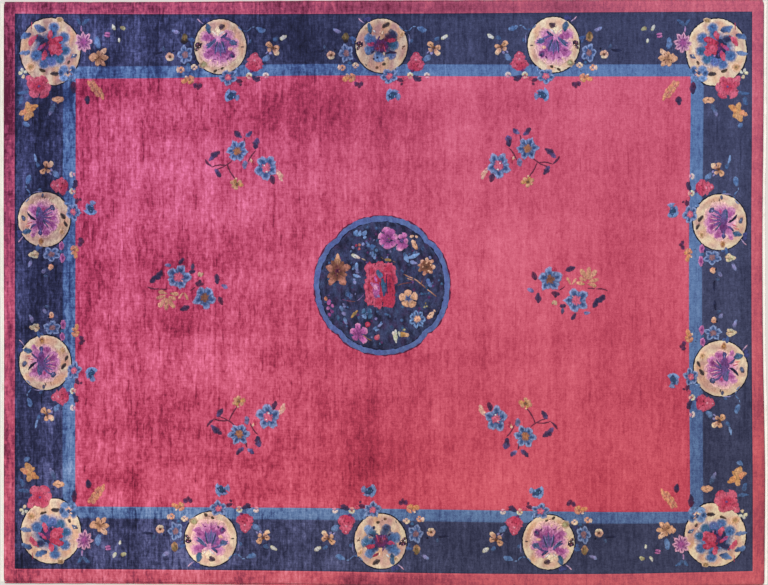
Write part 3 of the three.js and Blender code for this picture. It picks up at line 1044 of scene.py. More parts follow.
PEONY_END = chart("""
wash   -6  -4 190 158   0 orchid/orchid/pale_orchid
petal   4 -20   80  -62 46  0 violet/magenta/orchid/blush
petal   4 -10   92    8 48  0 violet/magenta/orchid/blush
petal   4  -8   50   62 52  0 plum/magenta/orchid/orchid
petal   2 -10    4   80 52  0 plum/magenta/magenta/orchid/blush
petal  -4 -12  -46   72 52  0 violet/magenta/orchid/blush
petal  -6 -14  -84   26 50  0 violet/magenta/orchid/blush
petal -10 -18  -96  -12 44  0 violet/magenta/orchid/blush
petal -10 -24  -74  -68 50  0 violet/magenta/magenta/orchid/blush
spot   24  36  50  40   0 plum/magenta/orchid
spot  -12  40  40  34   0 magenta/magenta/orchid
spot   60   8  34  42   0 magenta/magenta/orchid
spot  -48  -2  36  26   0 crimson/magenta/orchid
spot  -36 -48  34  26  30 magenta/magenta/orchid
spot   70 -50  30  22 -30 magenta/orchid
vein   68 -14  -72  -22 44  0 violet/plum/violet/slate
vein   56 -16   16  -18 22  0 violet_blue/violet/plum
spot   64 -17  28  22   0 violet/violet_blue/navy
vein   66 -16   44  -16  9  0 lilac/sky
vein    2 -30  -68  -25 26  0 navy/slate/slate/violet
vein  -16 -28  -58  -25 11  0 slate/sky/lilac
vein   -4 -16   48   24 12  4 navy/slate/plum
vein   -6 -14   26   38 13  3 navy/violet/plum
vein   -8 -14   -8   46 12  2 navy/violet/plum
vein  -12 -14  -36   46 12  3 navy/violet/slate
vein  -14 -12  -58   42 16  9 navy/violet/slate
spot  -54  38  32  26  40 plum/slate/navy
spot  -52  36  12  10  40 lilac
vein   14   2   46   40  8  2 pale_orchid/blush
vein   -2   6   10   54  9  0 orchid/blush
vein  -10   6  -21   54  9  0 pale_orchid/blush
vein  -22   6  -48   46  8  0 pale_orchid/orchid
vein    6 -30  -38  -80 14  7 navy/ink/navy
vein   18 -30   48  -66 13 -4 violet/navy
vein   24 -60   32  -92 10  3 rose/peach
vein   10 -48   22  -84  7  0 red/rose
leaf   10 -88  -24 -104 22  0 slate/navy
vein   -2 -92  -14  -98  8  0 sky
leaf   37 108    4   90 16  0 earth/ink/earth
leaf    1  98  -34   74 18  0 earth/ink/earth
twig   10  94    0   92  4  0 maroon
spot   58  82  34  28   0 olive/ochre/cream
spot  102 -14  36  26   0 gold/brown/peach
leaf  -98  -7 -128   -6 14  0 navy/slate
twig  -88  24 -108   30  5  0 brown/peach
twig  -90  38 -104   42  5  0 brown/peach
""")
LOBES_TOP = chart("""
petal   0 -10 -84  -2 54 0 maroon/navy/teal/blue
petal  -2   0 -64  62 46 0 navy/aubergine/slate/blue/lilac
petal  -2 -10 -72 -68 56 0 plum/maroon/aubergine/navy/slate
petal  10   6  16  82 52 0 violet/navy/blue/pale_sky/sky
petal  12   4  82  26 48 0 plum/violet_blue/blue/pale_sky
petal  12  -8  82 -46 56 0 violet/violet_blue/blue/blue/sky
spot  64 34 26 20 0 sky/blue
spot  20 56 12 12 0 navy
spot  36 62 10 10 0 navy
vein  -12  40 -74  34 15 5 ink/aubergine
""")
LOBES_BOTTOM = chart("""
petal   0  -6 -96  -8 54 0 maroon/navy/blue/teal/sky
petal   0  -8 -74 -74 48 0 maroon/navy/blue/sky
petal  -2   4 -76  70 46 0 plum/navy/teal/sky/pale_sky
petal   8   4  34  84 48 0 maroon/aubergine/slate/navy/blue
petal  10   4  96  28 50 0 maroon/navy/blue/blue/sky
petal  10  -6  92 -58 54 0 maroon/navy/blue/blue/sky
vein  -36  52 -28  72 14 0 navy
vein  -62 -20 -88   8  9 0 pale_sky/sky
vein   -6 -52 -42 -72 11 3 maroon/red
""")
PEONY_BLUE = chart("""
spot    2   2 74 70   0 aubergine/maroon/plum/navy
spot  -46 -25 48 26   4 crimson/crimson/maroon
spot   18  12 38 28 -10 crimson/maroon/plum
spot   42 -10 24 18   0 crimson/plum
vein  -24  34   -8  -12 11 3 rose/crimson/crimson
vein  -14  34    2  -10  7 0 plum/crimson
vein   30   0   70  -16 15 4 magenta/crimson/magenta
vein    6 -12   10   36  8 0 rose/violet
vein   22  -8   28   32  8 0 navy/violet
vein   12 -12   18   34  7 0 violet/rose
vein   -4 -34    0   -8 12 0 plum/maroon
vein    6 -50   22  -18  9 0 plum/violet
vein  -26  20  -60   36 10 0 aubergine/navy
vein   30  20   52   40 10 0 navy/aubergine
vein   34 -22   62  -34  9 0 navy/violet_blue
vein   42 -76   28  -56  9 3 white
vein  -10 -74    0  -46  9 0 pale_cream/blush
vein    8 -72    2  -52  8 0 blush/peach
leaf    0 -84  -40 -110 22 0 earth/ink/earth
leaf  -22  82    0   92 16 0 earth
leaf   12  98   31  108 16 0 earth/brown
twig    2  92   12   98  4 0 maroon
leaf   66 100   76   82  7 0 olive/slate
blot   68 -80 30 24   0 olive/cream
spot  -94 -54 40 20  60 olive/ochre/cream
twig  -93  21 -112   -6  6 3 brown
""")
BERRIES = chart("""
blot  100  -8 36 28 0 ink/ink/aubergine
leaf   90 -18 118  6 16 0 maroon/earth
leaf  102   0 116 24 15 0 earth/ink
leaf   92  -2 108  8 12 0 ink
spot   92 -18  6  6 0 blush
spot  106 -12  6  5 0 orchid
spot   96   0  6  5 0 blush
spot  112   4  6  6 0 white
spot  106  12  5  5 0 orchid
""")
BUD_DARK = chart("""
leaf  166 -10 164 -66 34 0 ink/earth/olive/earth
vein  166 -24 164 -58 10 0 olive/brown
""")
BUD_TAN = chart("""
leaf  167 -10 165 -64 33 0 brown/ochre/olive/brown olive/earth
vein  160 -20 158 -54  8 0 earth/brown
""")
LONG_SIDE_DETAILS = BERRIES + chart("""
leaf  -272 -28 -308 -52 20 0 green/white/green
petal  232  44  212  34 22 0 aubergine/peach/cream
petal  232  44  222  66 22 0 brown/pale_cream
petal  232  46  246  64 22 0 maroon/cream/pale_cream
petal  234  44  256  44 20 0 aubergine/blush/peach
petal  232  44  240  22 20 0 aubergine/peach/blush
spot  232 45 12 12 0 earth/brown
petal  120  96  101  92 17 0 blush/cream
petal  120  94  138  92 17 0 peach/pale_cream
petal  120  94  122  77 16 0 cream/pale_cream
petal  120  96  120 110 15 0 blush/cream
petal  180 106  162 102 18 0 coral/peach/blush
petal  180 104  206 104 24 0 peach/blush/pale_cream
petal  180 104  182  88 18 0 coral/peach
petal  180 106  178 122 17 0 peach/coral
""")
SHORT_END_DETAILS = chart("""
leaf  -262 -36 -310 -48 13 3 sky/pale_sky
leaf   226  10  252 -14 18 0 slate/lilac
leaf   158 -22  164 -84 26 3 olive/cream/green/cream
leaf   172 -26  176 -64 17 0 cream/green/white
leaf   152 -30  148 -58 13 0 green/cream
vein   164 -30  166 -70  7 0 olive/brown
vein   172 -36  170 -58  5 0 olive
bud    204  36  240  28 26 0 coral/peach/cream
vein   210  34  232  30  7 0 brown/coral
spot  122 86 40 26 0 plum/magenta/orchid
spot  178 90 46 26 0 plum/magenta/orchid
vein   128  78  132  92  7 0 magenta
vein   168  90  188  98  8 0 magenta/plum
""")
BORDER_GROUP = chart("""
leaf   112  -28  152  -38 19  0 violet_blue/blue/violet_blue
leaf  -112    3  -90    3  8  0 ink
spot    60 -124 26 28  0 violet_blue
spot    76 -122 22 24  0 violet_blue/violet_blue/navy
leaf    60 -112   50  -50 28  0 slate/teal/navy
vein    54 -104   48  -66  7  0 sky/slate
twig    76 -104  108 -132  7  2 lilac/pale_orchid
leaf   112   66  142   76 24  0 violet_blue/navy
star  162  36 36 45 5  0 pale_lilac blue deep_blue mauve
spot   162   36 24 26  0 mauve/sienna/mauve
leaf   182  -62  226  -82 18  3 slate/lilac/sky
leaf   138  -28  126   -4 12  0 violet_blue/blue
leaf   210   22  222   14 12  0 ink
twig   246   24  264   -4  8  0 navy/slate
leaf   262   22  262   -8 12  0 slate
leaf   262   22  318   26 14  2 ink/navy
leaf   146   72  148   92 16  0 teal/blue
twig   128  126  120  112  5  0 slate
petal  140  150  118  138 20  0 coral/clay
petal  140  150  120  166 20  0 coral/ochre/clay
petal  142  150  138  176 20  0 coral/gold
petal  142  150  184  162 22  0 gold/coral
petal  142  148  166  140 20  0 coral/clay/gold
petal  140  148  134  128 18  0 ochre/coral
spot   142  150 12 12  0 brown/clay
spot   158  136 12  9  0 cream/white
leaf    80  172  110  182 24  4 maroon/aubergine/plum
leaf   128  170   98  184 24 -3 plum/aubergine/maroon
leaf   100  174  104  204 20  0 aubergine/maroon
bud   -156  124 -160   24 66  0 crimson/crimson/rose/crimson
petal -156  112 -188   68 34 -5 crimson/rose/crimson
petal -154  112 -126   70 34  5 crimson/crimson/rose
petal -164   96 -186  110 22  0 crimson/red/crimson
petal -150   98 -130  108 22  0 crimson/magenta/crimson
petal -157  100 -158   52 20  0 red/rose/pale_orchid
vein  -162   78 -160   56  8  0 pale_orchid/rose
spot  -156   66 10 12  0 pale_orchid/rose
spot  -148   84 10 10  0 maroon/red
spot  -168   90  9  9  0 maroon/red
spot  -160   40  9 10  0 rose/pale_orchid
spot  -142  118 18 12  0 plum
leaf  -228   40 -192   74 26  0 slate/sky/blue
leaf  -238   28 -222   42 12  0 lilac
petal -210  138 -194  130 18  0 blush/white
petal -210  138 -224  130 18  0 blush/white
petal -210  138 -212  154 18  0 rose/pale_orchid
petal -210  138 -208  122 16  0 blush/white
petal -132  138 -148  132 17  0 green/pale_cream
petal -132  138 -116  132 17  0 green/cream
petal -132  138 -130  158 18  0 rose/blush
petal -132  138 -132  120 16  0 green/white
spot  -132  138 10 10  0 olive/rose
leaf  -188  162 -142  138 24  4 aubergine/navy
leaf  -188  146 -160  156 13  0 aubergine/ink
spot  -108  154 26 22  0 rose/crimson/rose
leaf  -106  164  -66  156 20  0 maroon/aubergine/maroon
leaf   -98  170  -88  188 14  0 aubergine/maroon
leaf  -212  -72 -160  -88 25  3 sky/blue/sky
twig  -160  -90 -142  -90  8  0 sky
twig  -144  -90 -120  -68  8  2 sky/blue
twig  -122  -68 -102  -74  8  0 blue
twig  -102  -72  -80  -96  8  2 blue/sky
twig  -124  -60 -128   -4  7  3 slate/lilac/blue
leaf  -136  -10 -140  -36 14  0 blue/slate
petal -240   10 -212  -20 27  0 brown/ochre/peach
petal -242    8 -276    6 24  0 brown/peach/ochre
petal -240   12 -270   46 24  0 maroon/peach/pale_cream
petal -238   12 -214   26 22  0 maroon/ochre/blush
vein  -236    4 -216  -14  7  0 earth/brown
vein  -246   10 -268   10  7  0 earth/brown
spot  -242    8 16 16  0 earth/brown
leaf  -222   22 -206   40  9  0 lilac
leaf  -240  -24 -270  -42 20  0 blue/slate
star  -36 144 43 38 5 12 pale_lilac blue deep_blue rose
spot   -36  144 22 20  0 rose/peach
leaf   -66  116  -84   98 16  0 blue/sky
vein   -72  128  -74  104  7  0 pale_sky
cup    -58  232  -22  212 42  0 blue/pale_sky
cup    -58  234  -92  240 34  0 navy/sky/lilac
cup    -54  238  -18  246 36  0 blue/sky/pale_sky
cup    -58  230  -62  200 36  0 blue/sky/lilac
spot   -50  230 50 34 30 teal/navy/blue
vein   -62  226  -60  246  8  0 pale_sky
vein   -42  222  -40  240  8  0 sky
""")
CORNER_GROUP = chart("""
blot   -44 -138  36  28   0 ochre/olive/cream
wash    -2   -6 186 178   0 navy/navy/blue/blue/sky
wash   -18 -104  60  54   0 blue/blue/sky
wash   -14  -78  50  44   0 navy/blue/slate
wash   -64  -58  60  62   0 slate/blue/blue/sky
wash   -68    0  66  56   0 deep_blue/teal/blue/sky
wash   -44   36  58  64   0 blue/teal/sky
wash    -6   46  66  64   0 blue/rim_blue/rim_blue/sky
wash    28   60  58  56   0 rim_blue/blue/sky
wash    64   22  66  66   0 deep_blue/blue/blue/sky
wash    48  -52  70  50 -14 navy/navy/slate/blue
spot    10  -12  84  88   0 plum/navy/navy
dab    -18  -12  80  64   0 crimson/rose/red/crimson
dab    -38    6  42  36   0 crimson/rose
dab    -36  -50  50  30   8 rose/crimson/red
dab    -12  -40  34  34   0 crimson/red
vein   -14  -44   18  -30 22  0 crimson/maroon
vein    -6  -96   10  -44 28  3 crimson/rose/crimson/maroon
vein    12  -42   64    0 26  4 maroon/crimson/magenta/crimson
vein    20  -10   38   50 30  3 magenta/crimson/rose/crimson
vein    28    6   34   34  9  0 pale_orchid/rose
vein     2  -38   26   -4 13  0 plum/maroon/plum
vein     8    2   10   34 12  0 plum/violet/navy
vein   -10   14   -6   30 12  0 violet/orchid/violet
vein   -56  -44  -38  -38  8  0 maroon/navy
vein   -22    4  -40   18  8  0 maroon/red
vein    20  -52   56  -60  9  0 navy/aubergine
bud     58  -68   98  -18 32 -5 crimson/rose/crimson/rose
vein    52  -66   68  -66 12  0 maroon/crimson
vein   -24 -118  -14 -100  9  0 violet/navy
vein   -84  -62  -70  -72  8  0 pale_sky/lilac
vein   -86    4  -76   12  8  0 sky/pale_sky
vein   -14   58    0   52  9  0 pale_sky/sky
vein    70   34   80   22  8  0 pale_sky/sky
twig    86 -132   88  -92  5  2 crimson/rose
leaf    14  -90   78 -114 32  4 navy/blue/sky
leaf    84  -76  140  -52 28 -3 navy/blue/sky
leaf    84    6  148   14 22  0 blue/sky
leaf   -48  104    4  104 20  0 earth/ink/earth
leaf   -36  112  -22   94 11  0 ink/earth
leaf   -14  116   -6   92 11  0 earth/navy
leaf    18   96   54   80 17  0 earth
leaf   -90   40  -80   66 14  0 earth/ink/brown
leaf  -126   14  -92   36 16  0 navy/blue
leaf  -120   34 -100   12 14  0 navy/blue/sky
vein  -114   18 -104   26  6  0 pale_cream
wash    90   74  50  44  20 olive/ochre/cream
star  -154 -38 41 47 8 5 pale_orchid orchid plum magenta
vein  -154  -36 -142  -60  7  0 violet/plum
vein  -154  -36 -172  -20  7  0 violet/plum
vein  -154  -36 -148  -10  7  0 violet/plum
vein  -154  -36 -174  -50  7  0 violet/plum
twig  -144  -82 -143 -116  9  0 orchid/lilac
leaf  -143 -112 -184 -144 17  3 slate/blue
leaf  -141 -112 -120 -146 15 -3 slate/blue
leaf  -224   -6 -216  -68 28  3 blue/sky/blue
leaf  -278  -64 -244  -70 13  0 magenta/orchid
leaf  -280  -76 -246  -80 12  0 magenta/orchid
vein  -276  -70 -248  -75  6  0 plum
leaf  -302  -90 -284 -124 15  2 green/white
leaf  -314  -62 -320  -32 13  0 white/green
leaf  -318 -108 -350  -96 20  0 olive/green
leaf  -222   32 -260  -14 25  0 brown/peach/cream/ochre
leaf  -220   34 -272   30 25  0 brown/ochre/peach
leaf  -220   36 -256   70 24  0 brown/peach/ochre
leaf  -220   36 -216   74 24  0 brown/ochre/peach
leaf  -228   34 -174   30 38  0 brown/ochre/peach/ochre
leaf  -222   28 -222   -4 18  0 brown/ochre/peach
vein  -246    6 -232   22  7  0 earth/brown
vein  -248   46 -232   34  7  0 brown/earth
vein  -236   62 -230   38  7  0 earth/brown
vein  -226   36 -196   44  8  0 brown/earth
twig  -240  222 -182  130  9  4 clay/ochre
leaf  -172  132 -188  170 18  0 coral/clay
leaf  -192  128 -208  166 17  0 clay/coral
leaf  -186  160 -204  192 17  0 ochre/coral
leaf  -206  146 -220  188 17  0 coral/ochre
leaf  -222  164 -236  208 18  0 coral/clay
leaf  -200  186 -226  216 16  0 clay/coral
leaf  -232  184 -246  230 18  0 ochre/coral
leaf  -174  202 -170  250 27  0 maroon/navy/aubergine
leaf  -106  136 -108  200 27  0 maroon/aubergine/navy
wash   -64   84  50  46   0 blue/sky/sky
wash   -52  100  36  44   0 navy/blue/sky
wash  -104   88  38  50   0 navy/blue/sky
wash  -102  118  38  40   0 blue/sky/pale_sky
wash   -62  124  46  34   0 blue/pale_sky/sky
spot   -84   98  22  20   0 navy/blue
vein  -102   80  -78  104  9  0 peach/cream/peach
vein   -96   94  -80  120 11  0 peach/blush
vein   -90   84  -86  112  6  0 maroon/red
vein  -104  104  -92  114  6  0 red/brown
leaf  -110  128  -74  136 18  0 teal/sky
petal   52  164  106  130 46  0 red/crimson/rose
petal   56  160  112  112 30  0 crimson/rose/rose
petal   52  166   92  212 46  0 crimson/rose/rose
petal   50  166   14  214 46  0 red/rose/crimson
petal   50  164   -8  166 44  0 crimson/rose/rose
petal   50  162   20  114 44  0 crimson/crimson/rose
petal   52  160   66  116 44  0 crimson/rose/crimson
spot    54  162  84  70   0 red/crimson/rose
spot    51  162  22  20   0 violet/plum/rose
vein    30  146   42  156  6  0 plum/red
vein    72  150   62  158  6  0 plum/red
vein    64  184   58  172  6  0 plum/red
vein    32  184   40  172  6  0 plum/red
vein    82  140   94  126  7  0 rose/blush
vein    14  150   20  136  7  0 red/crimson
vein    88  176  100  184  7  0 red/maroon
leaf   -66  222   -4  224 32  0 ochre/peach/ochre
vein   -50  218  -20  226  7  0 brown/olive
leaf   -22  238    6  302 22  0 slate/slate/lilac
leaf    66  262  148  294 32  0 gold/coral/ochre
leaf    92  278  108  230 30  0 gold/ochre
leaf   110  274   52  248 26  0 coral/gold
leaf    88  262  118  326 36  0 gold/ochre/gold
leaf   100  280   74  304 20  0 ochre/gold
spot   100  272  30  26   0 ochre/gold
vein    88  262  112  270  7  0 ochre/brown
leaf   104  326  118  352 30  0 sky/blue
leaf    92  186  156  192 18  3 slate/blue
leaf   128  204  142  250 22  3 slate/blue
petal  124  104  134   74 16  0 green/white
petal  124  104  150   98 16  0 green/pale_cream
petal  124  104  122  130 16  0 green/cream
petal  124  104  104   88 16  0 white/green
""")
SPRAY = chart("""
star  -36 -41 52 6 5 pale_lilac blue deep_blue sienna
spot  -36 -41 26 26  0 sienna/brown/sienna
star  97 38 55 61 5 20 pale_lilac blue deep_blue rose
spot   97  38 38 36  0 rose/pale_cream/pale_orchid
spot  100  56 12 10  0 white
spot   90  28 10 10  0 white
vein    64   20   70   34  8  0 violet/plum
vein   104   66  110   80  8  0 blue/lilac
leaf   -52 -138  -12 -100 24  3 aubergine/navy/violet
leaf    34 -134   -2 -106 22 -3 navy/violet_blue/lilac
leaf    58 -104   46  -44 32  2 violet/aubergine/navy
vein    56  -90   50  -62  7  0 slate
twig     0 -106   -6  -62  8  2 maroon/navy
twig    54  -46   12   18  8  6 maroon
leaf  -130  -30 -160  -14 26  4 navy/aubergine
leaf  -112  -44 -170    6 26  4 aubergine/navy/violet
leaf  -186  -10 -150   30 12  5 maroon/aubergine
leaf  -140   36 -110   82 24  0 violet/navy/aubergine
leaf     2    0   -4   46 26  0 lilac/slate/lilac
leaf   120   70  134  118 25  0 navy/aubergine/maroon
petal  -38  112  -72   98 20  0 olive/ochre/clay
petal  -38  112  -52   86 18  0 olive/gold
petal  -36  110  -14   92 20  0 olive/ochre/peach
petal  -36  112   -2  118 20  0 ochre/gold/clay
petal  -38  114  -40  142 22  0 olive/ochre/peach
petal  -40  114  -66  126 18  0 olive/ochre/clay
spot  -38 112 22 18  0 olive/maroon/gold
spot  -40  86 12 10  0 cream/peach
petal  142   42  180   86 18  2 rose/blush/clay
petal  150   64  176  104 15  0 clay/blush
petal  144   58  158   74 14  0 blush/cream
petal   22    4   46   14 17  0 ochre/peach/cream
petal   24   -8   30   10 12  0 blush/cream
twig  -160   34  -80   26  8 -8 maroon
twig  -150   46  -50   -8  7 10 maroon
twig   -84   14  -38   94  8  6 maroon
spot   36  14 12 34 10 crimson
""")
SIDE_SPRAY = chart("""
star  -64 -48 58 5  0 pale_lilac blue deep_blue rose
leaf   -84  -74  -36  -16 34  0 peach/pale_orchid/rose rose/gold
star   58  47 56 5 16 pale_lilac blue deep_blue brown
blot  58 46 26 26 0 olive/cream/slate
leaf   -10   86  -62  106 24  0 aubergine/navy
leaf   122   40  140   86 22  0 aubergine/maroon
leaf   166    6  130  -12 20  0 lilac/violet_blue
leaf   112  -66  114  -10 26  0 aubergine/navy
petal -106   26  -60   34 19  0 olive/ochre/peach
petal -112   40  -72   58 20  0 ochre/clay
petal -116   44  -80   98 22  0 clay/ochre
petal -118   44 -122  110 20  0 ochre/clay
petal -120   42 -158   94 22  0 clay/peach
petal -120   36 -170   52 20  0 ochre/clay
petal -112   30 -160   16 18  0 clay/ochre
petal  -40   20  -18   60 12  0 clay/ochre
petal  -40   20  -66   56 12  0 clay/peach
leaf    10  -22   56  -14 24  2 aubergine/maroon
leaf    36  -40   28   -6 18  0 ink/aubergine
petal   34  -44   30  -76 18  0 olive/cream
petal   36  -44   50  -72 13  0 cream/olive
leaf   -20  -72   18  -76 22  0 aubergine/navy
leaf    -2  -78    4 -116 16  0 slate/aubergine
leaf   -64 -104  -38 -140 21  0 aubergine/navy
leaf   -94 -104 -132 -104 18  0 blue/lilac
leaf  -168  -34 -138  -84 28  0 navy/aubergine
leaf  -196  -20 -162  -60 28  0 aubergine/navy
twig  -112    6 -152    4  8 -3 maroon
twig  -150    4 -212   -6  8 -6 maroon
twig    18   -4  -14   18  7  0 maroon
spot  40 92 26 22 0 crimson
""")
